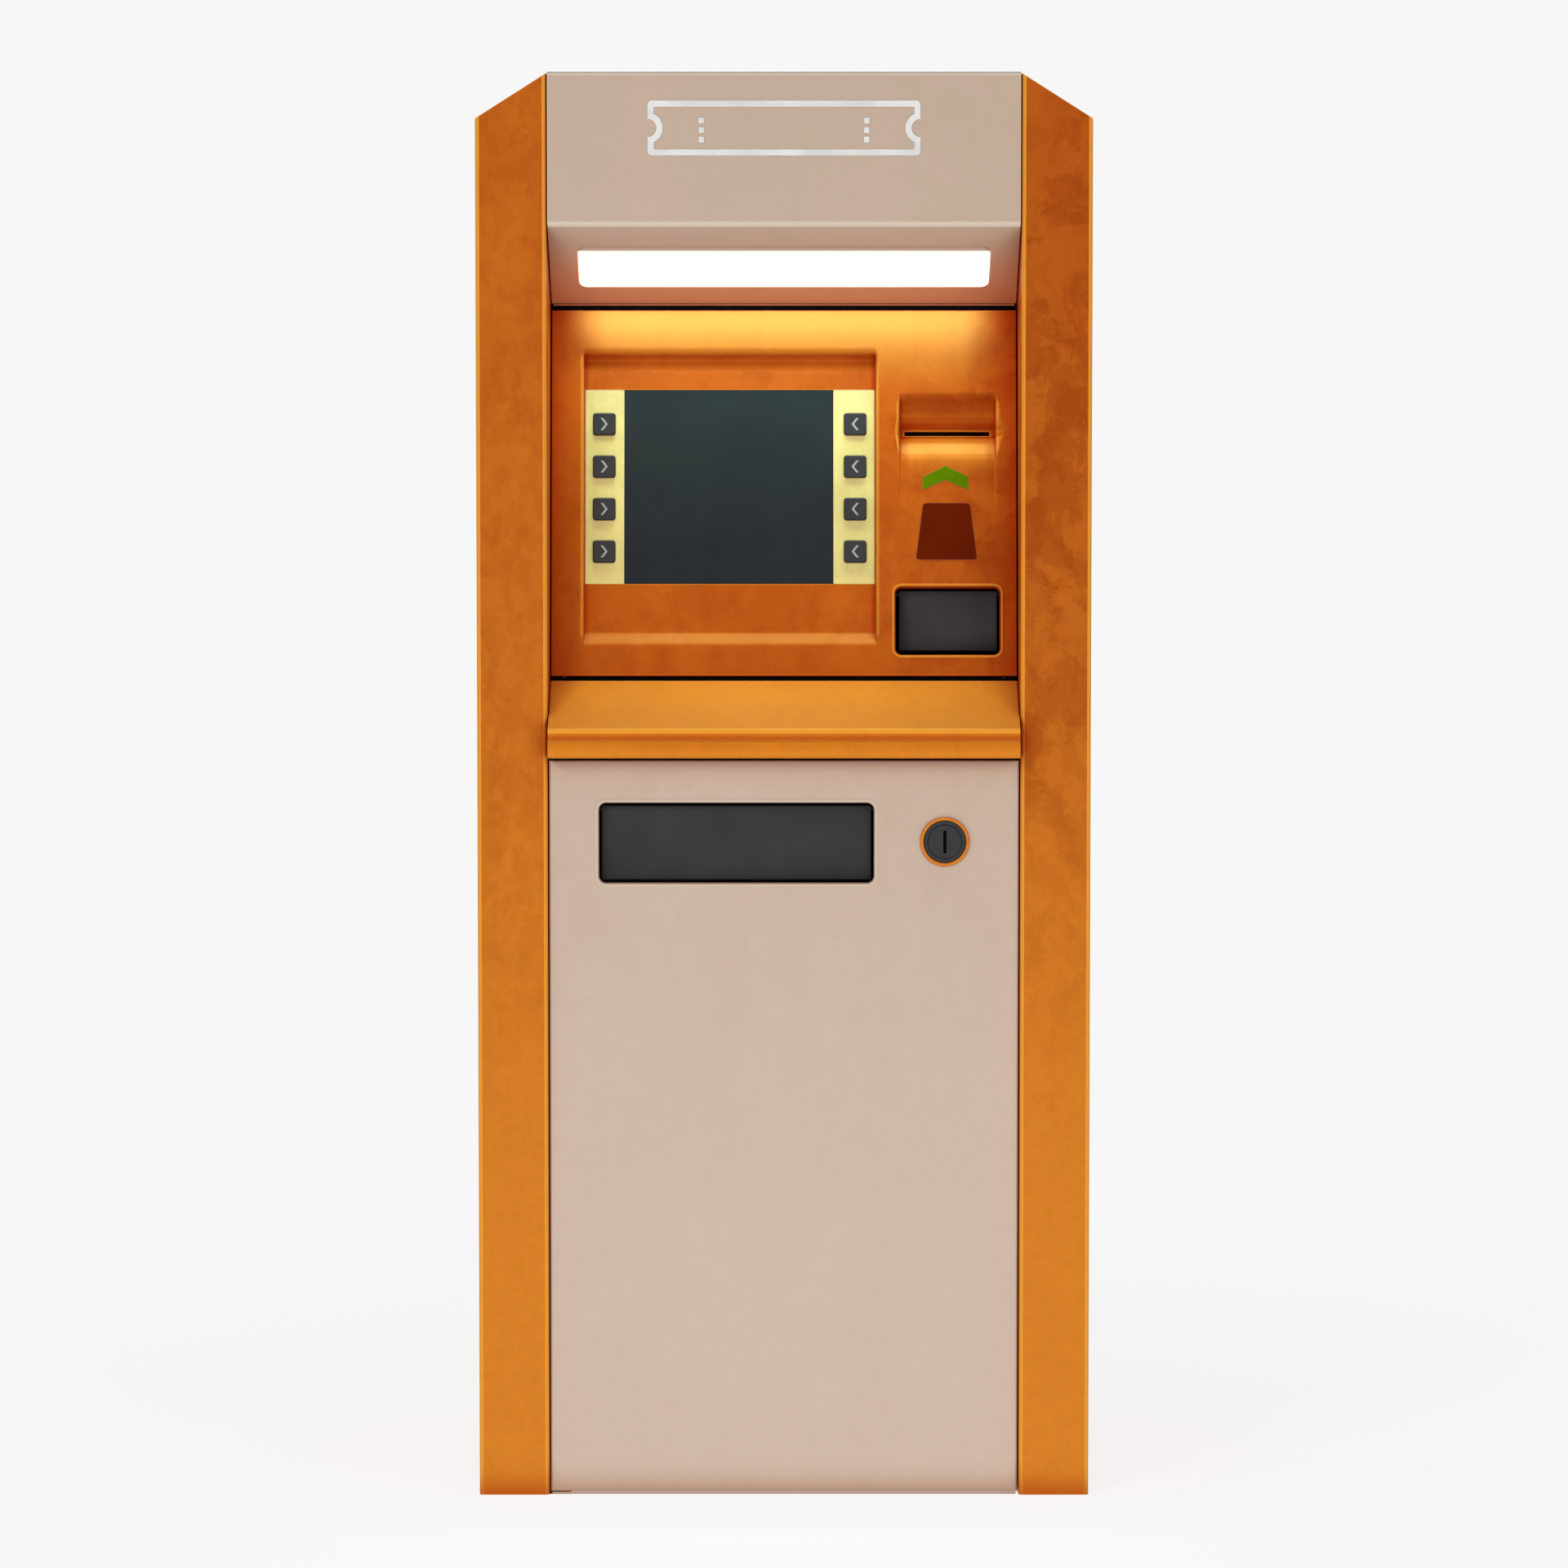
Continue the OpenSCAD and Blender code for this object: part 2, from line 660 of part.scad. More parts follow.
module door_gasket() {
    color(dark) along_y([door_y + door_return, door_y + door_return + 4]) difference() {
        translate([-panel_half + 2, door_bottom + 2])
            square([2 * panel_half - 4, door_top - door_bottom - 4]);
        translate([-panel_half + 10, door_bottom + 10])
            square([2 * panel_half - 20, door_top - door_bottom - 20]);
    }
}

ticket_pin = [door_y + 19, 776];

module ticket_flap() color(dark) hanging_flap([-205, 98], ticket_pin[0], ticket_pin[1], 79.5, 4);

module ticket_flap_pin() color(steel) rod_x([-210, 104], ticket_pin[0], ticket_pin[1], flap_pin_r);

module ticket_tray() {
    color(dark) difference() {
        block([-212, 106], [door_y + 2, tray_back], [650, 788]);
        block([-210, 104], [door_y + 1, tray_back - 2], [652, 786]);
        block([-60, 60], [-182, -150], [785, 789]);
    }
}

module lock_ring() {
    color(orange) rod_ring(door_y - 2.5, door_y, 27.5, 24);
}

module rod_ring(y0, y1, r_out, r_in) difference() {
    rod_y(lock_c[0], [y0, y1], lock_c[1], r_out);
    rod_y(lock_c[0], [y0 - 1, y1 + 1], lock_c[1], r_in);
}

module lock_body() {
    color(dark) difference() {
        union() {
            rod_y(lock_c[0], [door_y - 1.5, door_y + 2], lock_c[1], 23.8);
            rod_y(lock_c[0], [door_y + 2, door_y + 5], lock_c[1], 29);
            rod_y(lock_c[0], [door_y + 5, door_y + 34], lock_c[1], 23);
        }
        rod_y(lock_c[0], [door_y - 3, door_y + 35], lock_c[1], plug_r + run);
    }
}

module lock_plug() {
    color(dark) {
        difference() {
            rod_y(lock_c[0], [door_y - 2, door_y + 36], lock_c[1], plug_r);
            block([lock_c[0] - 1.65, lock_c[0] + 1.65], [door_y - 3, door_y + 6],
                  [lock_c[1] - 12.5, lock_c[1] + 12.5]);
        }
        block([lock_c[0] - 5, lock_c[0] + 5], [door_y + 36, door_y + 46], [lock_c[1] - 5, lock_c[1] + 5]);
    }
}

// The cam hangs down when unlocked, and a quarter turn puts it behind the surround.
module lock_cam() {
    color(steel) along_y([door_y + 41.5, door_y + 44.5]) difference() {
        translate(lock_c) {
            translate([-9, -72]) square([18, 72]);
            circle(12);
        }
        translate(lock_c) translate([-5, -5]) square([10, 10]);
    }
}

// ---------- inside ----------

module ticket_chute() {
    color(steel) {
        mirrored() along_x([56, 58])
            polygon([[-112, 838], [-112, 806], [-158, 792], [-180, 792]]);
        along_x([-56, 56]) polygon([[-112, 806], [-112, 808.5], [-159, 794.5], [-158, 792]]);
    }
}

platen = [-100, 826];
spool = [120, 882];

module ticket_printer() {
    color(steel) {
        difference() {
            union() {
                block([-66, 66], [-112, 26], [797, 804]);
                for (x = [-66, 62]) block([x, x + 4], [-112, 26], [804, 876]);
                block([-62, 62], [-80, 26], [812, 872]);
            }
            rod_x([-70, 70], platen[0], platen[1], 3 + run);
        }
        for (x = [-66, 62]) block([x, x + 4], [26, 132], [820, 892]);
        rod_x([-62, 62], spool[0], spool[1], 9);
    }
}

module platen_roller() {
    color(dark) {
        rod_x([-60, 60], platen[0], platen[1], 9);
        rod_x([-65, 65], platen[0], platen[1], 3);
    }
}

module ticket_roll() {
    color(paper) difference() {
        rod_x([-43, 43], spool[0], spool[1], 72);
        rod_x([-44, 44], spool[0], spool[1], 9 + run);
    }
}

module computer_box() {
    color(steel) {
        block([-200, 80], [150, 237], [1020, 1330]);
        for (i = [0 : 8]) block([-170 + 27 * i, -160 + 27 * i], [140, 150], [1040, 1310]);
    }
}

module power_supply() {
    color(steel) {
        block([-230, -70], [60, 200], [base_t, base_t + 110]);
        block([-225, -200], [40, 60], [40, 90]);
    }
}

module terminal_box() {
    color(dark) {
        block([70, 200], [120, 210], [base_t, base_t + 80]);
        rod_x([60, 70], 150, 50, 12);
    }
}

fan_c = [0, 1420];

module fan_frame() {
    y = [rear_y - 38, rear_y];
    color(dark) difference() {
        along_y(y) rounded([fan_c[0] - 60, fan_c[0] + 60], [fan_c[1] - 60, fan_c[1] + 60], 5);
        rod_y(fan_c[0], [y[0] - 1, y[1] - 4], fan_c[1], 56);
        difference() {
            rod_y(fan_c[0], [y[1] - 5, y[1] + 1], fan_c[1], 56);
            block([-60, 60], [y[1] - 4, y[1]], [fan_c[1] - 4, fan_c[1] + 4]);
            block([-4, 4], [y[1] - 4, y[1]], [fan_c[1] - 60, fan_c[1] + 60]);
            rod_y(fan_c[0], [y[1] - 4, y[1]], fan_c[1], 20);
        }
    }
    color(dark) rod_y(fan_c[0], [y[1] - 24, y[1] - 4], fan_c[1], 4);
}

module fan_rotor() {
    y = [rear_y - 34, rear_y - 8];
    color(dark) difference() {
        union() {
            rod_y(fan_c[0], y, fan_c[1], 19);
            for (a = [0 : 51.43 : 359]) translate([fan_c[0], 0, fan_c[1]]) rotate([0, a, 0])
                translate([0, (y[0] + y[1]) / 2, 0]) rotate([0, 0, 35])
                    block([-1.2, 1.2], [-13, 13], [15, 53]);
        }
        rod_y(fan_c[0], [rear_y - 25, rear_y], fan_c[1], 4 + run);
    }
}

// Mains, computer, display, reader and header light leads, clipped along the frame.
mains_route = [[59.7, 150, 50], [48, 150, 50], [35, 149, 50], [-5, 130, 52], [-35, 112, 50],
               [-52, 110, 50], [-69.7, 110, 50]];
power_route = [[-212, 39.7, 65], [-212, 30, 65], [-213, 18, 72], [-225, 8, 100], [-242, 5, 170],
               [-245, 5, 360], [-245, 5, 560], [-245, 5, 760], [-245, 5, 900], [-243, 30, 1020],
               [-240, 120, 1095], [-231, 184, 1110], [-216, 190, 1110], [-200.3, 190, 1110]];
display_route = [[68, 149.7, 1200], [68, 130, 1200], [66, 112, 1199], [40, 60, 1180], [-20, -10, 1140],
                 [-60, -60, 1110], [-70, -95, 1105]];
reader_route = [[68, 149.7, 1260], [68, 130, 1260], [72, 112, 1259], [105, 65, 1240], [165, 30, 1205],
                [186, 5, 1196], [186, -3, 1195]];
light_route = [[-150, 190, 1330.3], [-150, 190, 1348], [-150, 188, 1365], [-150, 150, 1430],
               [-110, 20, 1468], [-50, -90, 1468], [-10, -150, 1440], [0, -159, 1423]];

module wiring_loom() {
    color(dark) {
        wire(mains_route, 5, [0, 0, 1]);
        wire(power_route, 5, [1, 0.2, 0]);
        wire(display_route, 4, [0, 0, 1]);
        wire(reader_route, 4, [0, 0, 1]);
        wire(light_route, 4, [1, 0, 0]);
    }
}

base_plate();
frame_posts();
frame_rails();
equipment_shelf();
left_cheek();
right_cheek();
top_panel();
rear_panel();
rear_screws();
header_cover();
header_pictogram();
light_tray();
led_board();
light_lens();
fascia();
display_glass();
display_module();
key_strips();
key_left_1();
key_left_2();
key_left_3();
key_left_4();
key_right_1();
key_right_2();
key_right_3();
key_right_4();
key_boards();
slot_bezel();
ticket_reader();
feed_roller();
insert_arrow();
card_label();
receipt_flap();
receipt_flap_pin();
receipt_bin();
receipt_printer();
receipt_roll();
shelf();
door_surround();
door_hinges();
service_door();
door_stiffeners();
door_gasket();
ticket_flap();
ticket_flap_pin();
ticket_tray();
lock_ring();
lock_body();
lock_plug();
lock_cam();
ticket_chute();
ticket_printer();
platen_roller();
ticket_roll();
computer_box();
power_supply();
terminal_box();
fan_frame();
fan_rotor();
wiring_loom();
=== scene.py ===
"""The looks of a floor-standing ticket machine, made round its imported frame.

Lengths are in millimetres inside the shape functions, which turn them into metres at the end.
+Z is up and the front faces -Y. The fascia has its own frame: u across, d into the machine, and
w up along the lean. A rectangle is (left, right, bottom, top).
"""

import json
import math

import bmesh
import bpy
import numpy as np
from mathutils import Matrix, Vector


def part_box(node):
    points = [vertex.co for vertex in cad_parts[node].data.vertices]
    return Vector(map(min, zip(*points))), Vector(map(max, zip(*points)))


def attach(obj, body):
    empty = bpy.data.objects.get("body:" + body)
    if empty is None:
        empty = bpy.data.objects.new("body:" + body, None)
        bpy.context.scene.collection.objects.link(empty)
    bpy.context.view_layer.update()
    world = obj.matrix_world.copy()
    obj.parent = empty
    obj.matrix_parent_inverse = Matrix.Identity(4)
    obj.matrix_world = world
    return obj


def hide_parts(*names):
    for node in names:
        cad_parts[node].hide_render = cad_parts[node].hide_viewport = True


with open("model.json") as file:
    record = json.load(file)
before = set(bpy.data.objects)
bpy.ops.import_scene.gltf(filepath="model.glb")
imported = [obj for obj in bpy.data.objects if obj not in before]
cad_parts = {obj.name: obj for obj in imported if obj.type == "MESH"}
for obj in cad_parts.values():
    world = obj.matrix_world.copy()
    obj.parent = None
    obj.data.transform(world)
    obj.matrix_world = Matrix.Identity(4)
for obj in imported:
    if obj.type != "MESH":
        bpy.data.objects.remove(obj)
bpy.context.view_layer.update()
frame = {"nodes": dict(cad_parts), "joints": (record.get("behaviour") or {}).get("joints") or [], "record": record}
nodes = frame["nodes"]
slot_of = {s["node"]: s["material_slot"] for s in frame["record"]["subparts"]}

MM = 0.001
front_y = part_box("left_cheek")[0].y / MM


# ---------- camera, light and floor ----------

def make_camera():
    data = bpy.data.cameras.new("camera")
    data.lens = 143.79
    data.sensor_width = 36
    camera = bpy.data.objects.new("camera", data)
    camera.location = (0, -7.257, 1.3361)
    camera.rotation_euler = (math.radians(85.668), 0, 0)
    bpy.context.scene.collection.objects.link(camera)
    bpy.context.scene.camera = camera


def area_light(name, place, target, size, power, colour=(1, 1, 1), spread=180):
    data = bpy.data.lights.new(name, "AREA")
    data.spread = math.radians(spread)
    data.shape = "RECTANGLE"
    data.size, data.size_y = size
    data.energy = power
    data.color = colour
    lamp = bpy.data.objects.new(name, data)
    lamp.location = place
    lamp.rotation_euler = (Vector(target) - Vector(place)).to_track_quat("-Z", "Y").to_euler()
    lamp.visible_camera = False
    bpy.context.scene.collection.objects.link(lamp)


BACKDROP = 0.93
AMBIENT = 0.34
FLOOR_HALF = 30
FLOOR_DIM = 0.115


def make_studio():
    """A white backdrop, dimmer as a light than as it looks, lamps in front, and two under the header."""
    scene = bpy.context.scene
    scene.view_settings.view_transform = "Standard"
    world = bpy.data.worlds.new("studio")
    world.use_nodes = True
    tree = world.node_tree
    seen = tree.nodes["Background"]
    seen.inputs["Color"].default_value = (BACKDROP, BACKDROP, BACKDROP, 1)
    lit = tree.nodes.new("ShaderNodeBackground")
    lit.inputs["Color"].default_value = (AMBIENT, AMBIENT, AMBIENT, 1)
    path = tree.nodes.new("ShaderNodeLightPath")
    mix = tree.nodes.new("ShaderNodeMixShader")
    tree.links.new(path.outputs["Is Camera Ray"], mix.inputs[0])
    tree.links.new(lit.outputs[0], mix.inputs[1])
    tree.links.new(seen.outputs[0], mix.inputs[2])
    tree.links.new(mix.outputs[0], tree.nodes["World Output"].inputs["Surface"])
    scene.world = world
    area_light("key", (-2.4, -4.6, 3.2), (0, -0.2, 0.9), (1.6, 1.6), 72)
    area_light("fill", (2.9, -4.6, 2.0), (0, -0.2, 0.8), (1.4, 2.0), 40)
    area_light("low", (0.2, -4.4, 0.7), (0, -0.2, 0.5), (2.4, 0.9), 26)
    strip, fascia_face = from_fascia([(0, -26, 436), (0, 4, 374)]) * MM
    area_light("header_glow", strip, fascia_face, (0.47, 0.008), 0.175, (0.52, 0.93, 1.9), spread=95)
    area_light("shelf_glow", (0, -0.18, 1.33), (0, -0.18, 1), (0.52, 0.04), 0.38, (0.62, 0.95, 0.6),
               spread=76)


def make_floor():
    """A pale floor that meets the backdrop unseen and still takes a soft shadow near the machine."""
    mesh = bpy.data.meshes.new("floor")
    corners = [(x * FLOOR_HALF, y * FLOOR_HALF, 0) for x, y in ((-1, -1), (1, -1), (1, 1), (-1, 1))]
    mesh.from_pydata(corners, [], [(0, 1, 2, 3)])
    floor = bpy.data.objects.new("floor", mesh)
    bpy.context.scene.collection.objects.link(floor)
    look = Look("floor", roughness=0.9, specular=0.0)
    reach = look.node("ShaderNodeVectorMath", {0: look.place}, operation="LENGTH").outputs["Value"]
    far = look.ramp(reach, 0.45, 2.2)
    look.colour(look.mix(far, (0.22, 0.22, 0.22, 1), (0, 0, 0, 1)))
    look.shader.inputs["Emission Color"].default_value = (1, 1, 1, 1)
    look.feed(look.shader.inputs["Emission Strength"], look.spread(far, BACKDROP - FLOOR_DIM, BACKDROP))
    mesh.materials.append(look.material)


# ---------- materials ----------

def srgb(r, g, b):
    """A display colour, 0 to 255, as the linear colour a shader takes."""
    return tuple(
        ((v / 255 + 0.055) / 1.055) ** 2.4 if v > 10 else v / 255 / 12.92 for v in (r, g, b)
    ) + (1,)


def shade(tone, share):
    """A linear colour made darker, or lighter where share is over 1."""
    return tuple(c * share for c in tone[:3]) + (1,)


class Look:
    """One material, built a node at a time round a Principled shader."""

    def __init__(self, name, roughness=0.5, metallic=0.0, coat=0.0, specular=0.5):
        self.material = bpy.data.materials.new(name)
        self.material.use_nodes = True
        self.tree = self.material.node_tree
        self.shader = self.tree.nodes["Principled BSDF"]
        settings = {"Roughness": roughness, "Metallic": metallic, "Coat Weight": coat,
                    "Coat Roughness": 0.25, "Specular IOR Level": specular}
        for key, value in settings.items():
            self.shader.inputs[key].default_value = value
        self.place = self.node("ShaderNodeTexCoord").outputs["Object"]

    def node(self, kind, inputs=None, **settings):
        made = self.tree.nodes.new(kind)
        for key, value in settings.items():
            setattr(made, key, value)
        for key, value in (inputs or {}).items():
            self.feed(made.inputs[key], value)
        return made

    def feed(self, socket, value):
        if isinstance(value, bpy.types.NodeSocket):
            self.tree.links.new(value, socket)
        else:
            socket.default_value = value

    def math(self, operation, a, b=0.0, clamp=False):
        made = self.node("ShaderNodeMath", {0: a, 1: b}, operation=operation, use_clamp=clamp)
        return made.outputs[0]

    def times(self, a, b):
        return self.math("MULTIPLY", a, b)

    def noise(self, scale, detail=3.0, stretch=(1, 1, 1), shift=0.0, roughness=0.55, warp=0.0):
        """Noise from 0 to 1; scale is in lumps per metre."""
        moved = self.node("ShaderNodeMapping", {"Vector": self.place})
        moved.inputs["Scale"].default_value = stretch
        moved.inputs["Location"].default_value = (shift, shift * 1.7, shift * 2.3)
        made = self.node(
            "ShaderNodeTexNoise",
            {"Vector": moved.outputs[0], "Scale": scale, "Detail": detail, "Roughness": roughness,
             "Distortion": warp},
        )
        return made.outputs[0]

    def ramp(self, value, low, high):
        """value from low..high as 0..1, eased."""
        made = self.node(
            "ShaderNodeMapRange", {"Value": value, "From Min": low, "From Max": high},
            interpolation_type="SMOOTHSTEP",
        )
        return made.outputs["Result"]

    def spread(self, value, low, high):
        """value 0..1 as low..high."""
        made = self.node("ShaderNodeMapRange", {"Value": value, "To Min": low, "To Max": high})
        return made.outputs["Result"]

    def mix(self, share, a, b, blend="MIX"):
        made = self.node("ShaderNodeMix", data_type="RGBA", blend_type=blend)
        self.feed(made.inputs[0], share)
        self.feed(made.inputs[6], a)
        self.feed(made.inputs[7], b)
        return made.outputs[2]

    def axis(self, index):
        return self.node("ShaderNodeSeparateXYZ", {0: self.place}).outputs[index]

    def upward(self):
        """How far the surface faces up: 1 on a floor, 0 on a wall."""
        normal = self.node("ShaderNodeNewGeometry").outputs["Normal"]
        return self.node("ShaderNodeSeparateXYZ", {0: normal}).outputs[2]

    def crevice(self, distance):
        """1 where the surface is closed in by others, 0 in the open."""
        made = self.node("ShaderNodeAmbientOcclusion", {"Distance": distance}, samples=6)
        return self.math("SUBTRACT", 1.0, made.outputs["AO"], clamp=True)

    def edges(self, radius):
        """1 along outer edges and bends, 0 on flats."""
        soft = self.node("ShaderNodeBevel", {"Radius": radius}, samples=4).outputs[0]
        true = self.node("ShaderNodeNewGeometry").outputs["Normal"]
        dot = self.node("ShaderNodeVectorMath", {0: soft, 1: true}, operation="DOT_PRODUCT")
        return self.ramp(dot.outputs["Value"], 0.995, 0.80)

    def colour(self, value):
        self.feed(self.shader.inputs["Base Color"], value)

    def roughness(self, value):
        self.feed(self.shader.inputs["Roughness"], value)

    def bump(self, *layers):
        """Each layer is (height socket, strength, distance in metres)."""
        normal = None
        for height, strength, distance in layers:
            inputs = {"Height": height, "Strength": strength, "Distance": distance}
            if normal is not None:
                inputs["Normal"] = normal
            normal = self.node("ShaderNodeBump", inputs).outputs[0]
        self.feed(self.shader.inputs["Normal"], normal)


def enamel(name, low, high, dark, stain, deep, edge, tint, blotch, roughness):
    """Satin enamel on sheet, blotched with dark and stain. Painted light: low's colour near the floor, lighter as
    painted floor bounce, and high's above; deep as painted shade in corners; edge as a painted highlight along
    edges and on faces that face up. Relief adds to both."""
    look = Look(name, roughness, specular=0.17)
    look.shader.inputs["Specular Tint"].default_value = tint
    # Painted light: lighter low down, where the floor's bounce falls.
    base = look.mix(look.ramp(look.axis(2), 0.1, 1.5), low, high)
    streaks = look.ramp(look.noise(16, 3, stretch=(1, 1, 0.3), shift=7), 0.40, 0.66)
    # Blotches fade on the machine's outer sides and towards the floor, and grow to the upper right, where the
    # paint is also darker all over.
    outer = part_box("right_cheek")[1].x
    x = look.math("ABSOLUTE", look.axis(0))
    blotch_reach = look.times(look.spread(look.ramp(x, outer, outer - 0.004), 0.4, 1),
                      look.spread(look.ramp(look.axis(2), 0.3, 0.95), 0.12, 1))
    base = look.mix(look.times(streaks, look.times(blotch_reach, 0.45)), base, stain)
    upper = look.ramp(look.axis(2), 0.4, 1.2)
    right = look.times(look.ramp(look.axis(0), 0.0, 0.28), upper)
    clouds = look.ramp(look.noise(17, 6, shift=3, roughness=0.66, warp=0.5), 0.47, 0.56)
    wisps = look.noise(38, 5, stretch=(1, 1, 0.6), shift=1, roughness=0.62, warp=0.4)
    wisps = look.ramp(wisps, 0.46, 0.60)
    share = look.times(clouds, look.spread(right, blotch * 0.3, blotch * 0.66))
    share = look.math("ADD", share, look.times(wisps, blotch * 0.36))
    share = look.math("ADD", share, look.times(right, blotch * 0.6), clamp=True)
    base = look.mix(look.times(share, blotch_reach), base, dark)
    base = look.mix(look.spread(look.ramp(look.noise(95, 3, shift=9), 0.35, 0.75), 0.0, 0.10), base, dark)
    base = look.mix(look.spread(look.ramp(look.noise(420, 2), 0.4, 0.8), 0.0, 0.08), base, low)
    # Painted light: faces that face up are painted paler, as if lit from above.
    base = look.mix(look.times(look.ramp(look.upward(), 0.25, 0.85), 0.2), base, edge)
    relief_light = look.node("ShaderNodeAttribute", attribute_name="relief_light").outputs["Fac"]
    # Painted highlight in the edge colour on proud relief, bends and lamp-lit paint.
    base = look.mix(look.times(look.ramp(relief_light, 0.1, 0.9), 0.65), base, edge)
    # Painted highlight in the edge colour along edges and bends.
    base = look.mix(look.times(look.edges(0.002), 0.6), base, edge)
    # Painted shade in the deep colour where the relief is sunk.
    base = look.mix(look.times(look.ramp(relief_light, -0.1, -1.0), 0.6), base, deep)
    # Painted shade in the deep colour in corners and recesses, where little light reaches.
    base = look.mix(look.times(look.ramp(look.crevice(0.045), 0.08, 0.62), 0.8), base, deep)
    # Painted bounce light: the header's underside is painted with the warm colour that the lit fascia throws on
    # it.
    painted_bounce = look.times(look.ramp(look.upward(), -0.2, -0.5), look.ramp(look.axis(2), 1.43, 1.345))
    painted_bounce = look.times(painted_bounce, look.ramp(look.axis(2), 1.337, 1.341))
    base = look.mix(look.times(painted_bounce, 0.7), base, srgb(200, 110, 56))
    look.colour(base)
    look.roughness(look.spread(look.noise(34, 4, shift=5), roughness - 0.08, roughness + 0.1))
    look.bump(
        (look.noise(5, 2, shift=2), 0.25, 0.0018),
        (look.noise(60, 2), 0.12, 0.0004),
        (look.noise(900, 2), 0.10, 0.00008),
    )
    return look.material


def zinc(name, tone, roughness):
    """Zinc-plated sheet with a soft spangle and rolling marks."""
    look = Look(name, roughness, metallic=0.85)
    cells = look.node("ShaderNodeTexVoronoi", {"Vector": look.place, "Scale": 75.0}).outputs["Color"]
    grey = look.node("ShaderNodeRGBToBW", {0: cells}).outputs[0]
    low = shade(tone, 0.78)
    base = look.mix(look.spread(grey, 0.1, 0.8), low, tone)
    dirt = look.ramp(look.noise(11, 5, shift=4), 0.5, 0.8)
    base = look.mix(look.times(dirt, 0.35), base, shade(tone, 0.5))
    look.colour(base)
    look.roughness(look.spread(look.noise(24, 5, stretch=(1, 1, 12)), roughness - 0.1, roughness + 0.14))
    look.bump((look.noise(220, 3, stretch=(1, 1, 7)), 0.12, 0.0002))
    return look.material


def plastic(name, tone, roughness, grain=900, wear=0.3, specular=0.3):
    """Moulded plastic or a grained coating, with lighter, rubbed edges and painted shade in its gaps and creases.
    """
    look = Look(name, roughness, specular=specular)
    lighter = tuple(min(1.0, c * 1.35 + 0.012) for c in tone[:3]) + (1,)
    darker = shade(tone, 0.8)
    base = look.mix(look.ramp(look.noise(18, 4, shift=1), 0.35, 0.7), darker, tone)
    base = look.mix(look.spread(look.noise(240, 2), 0.0, 0.25), base, lighter)
    base = look.mix(look.times(look.edges(0.0012), wear), base, lighter)
    # Painted shade in gaps and creases, where little light reaches.
    gap_shade = look.ramp(look.crevice(0.004), 0.25, 0.85)
    base = look.mix(look.times(gap_shade, 0.85), base, shade(tone, 0.08))
    look.colour(base)
    look.roughness(look.spread(look.noise(130, 3, shift=6), roughness - 0.07, roughness + 0.09))
    look.bump((look.noise(grain, 2, roughness=0.7), 0.35, 0.00012), (look.noise(12, 2), 0.1, 0.0006))
    return look.material


def vinyl(name, tone):
    """Cut vinyl: even colour, faint stipple, slight sheen."""
    look = Look(name, 0.42, specular=0.10)
    look.shader.inputs["Specular Tint"].default_value = shade(tone, 1 / max(tone[:3]))
    darker = shade(tone, 0.85)
    base = look.mix(look.ramp(look.noise(26, 3), 0.35, 0.7), darker, tone)
    look.colour(look.mix(look.times(look.edges(0.0006), 0.2), base, (1, 1, 1, 1)))
    look.roughness(look.spread(look.noise(160, 3), 0.30, 0.46))
    look.bump((look.noise(700, 2), 0.12, 0.00006), (look.noise(40, 2), 0.08, 0.0003))
    return look.material


LENS_GLOW = 1.9


def opal(name):
    """A lit diffuser, evenly bright but for its upper rim, which is dark."""
    look = Look(name, 0.35)
    top = on_slope(0, LENS_MIDDLE - LENS_HALF_WIDTH, 1)[2] * MM
    rim = look.ramp(look.axis(2), top - 0.0075, top - 0.0015)
    look.colour(look.mix(rim, (0.9, 0.9, 0.86, 1), (0.36, 0.25, 0.19, 1)))
    lamp = look.mix(look.noise(14, 2, shift=8), (1.0, 0.93, 0.74, 1), (1, 0.97, 0.86, 1))
    look.feed(look.shader.inputs["Emission Color"], look.mix(rim, lamp, (0.02, 0.012, 0.006, 1)))
    look.shader.inputs["Emission Strength"].default_value = LENS_GLOW
    look.bump((look.noise(600, 2), 0.2, 0.0001))
    return look.material


def glass(name):
    """Anti-glare glass over a screen that is off: near black, greener at the top."""
    look = Look(name, 0.22, specular=0.3)
    lo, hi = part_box("display_glass")
    height = look.ramp(look.axis(2), lo.z, hi.z)
    base = look.mix(height, srgb(27, 31, 36), srgb(34, 42, 42))
    base = look.mix(look.spread(look.ramp(look.noise(9, 3), 0.3, 0.7), 0.0, 0.3), base, srgb(24, 28, 30))
    look.colour(base)
    look.roughness(look.spread(look.noise(30, 4), 0.16, 0.30))
    look.bump((look.noise(1500, 1), 0.08, 0.00004))
    return look.material


def board(name):
    """Green solder mask with tracks and a few plated pads."""
    look = Look(name, 0.35, coat=0.3)
    bricks = look.node(
        "ShaderNodeTexBrick",
        {"Vector": look.place, "Scale": 130.0, "Color1": (0.01, 0.10, 0.04, 1),
         "Color2": (0.015, 0.14, 0.055, 1), "Mortar": (0.03, 0.22, 0.09, 1), "Mortar Size": 0.03},
    )
    pads = look.node("ShaderNodeTexVoronoi", {"Vector": look.place, "Scale": 210.0}).outputs["Distance"]
    base = look.mix(look.ramp(pads, 0.10, 0.06), bricks.outputs["Color"], (0.55, 0.50, 0.38, 1))
    look.colour(base)
    look.bump((bricks.outputs["Fac"], 0.3, 0.00008))
    return look.material


def rubber(name, tone, specular):
    """Soft black rubber: a dusty bloom over a fine open grain."""
    look = Look(name, 0.72, specular=specular)
    dusty = shade(tone, 2.6)
    look.colour(look.mix(look.ramp(look.noise(60, 4), 0.35, 0.8), tone, dusty))
    look.roughness(look.spread(look.noise(90, 3), 0.62, 0.84))
    look.bump((look.noise(1200, 2), 0.4, 0.0001))
    return look.material


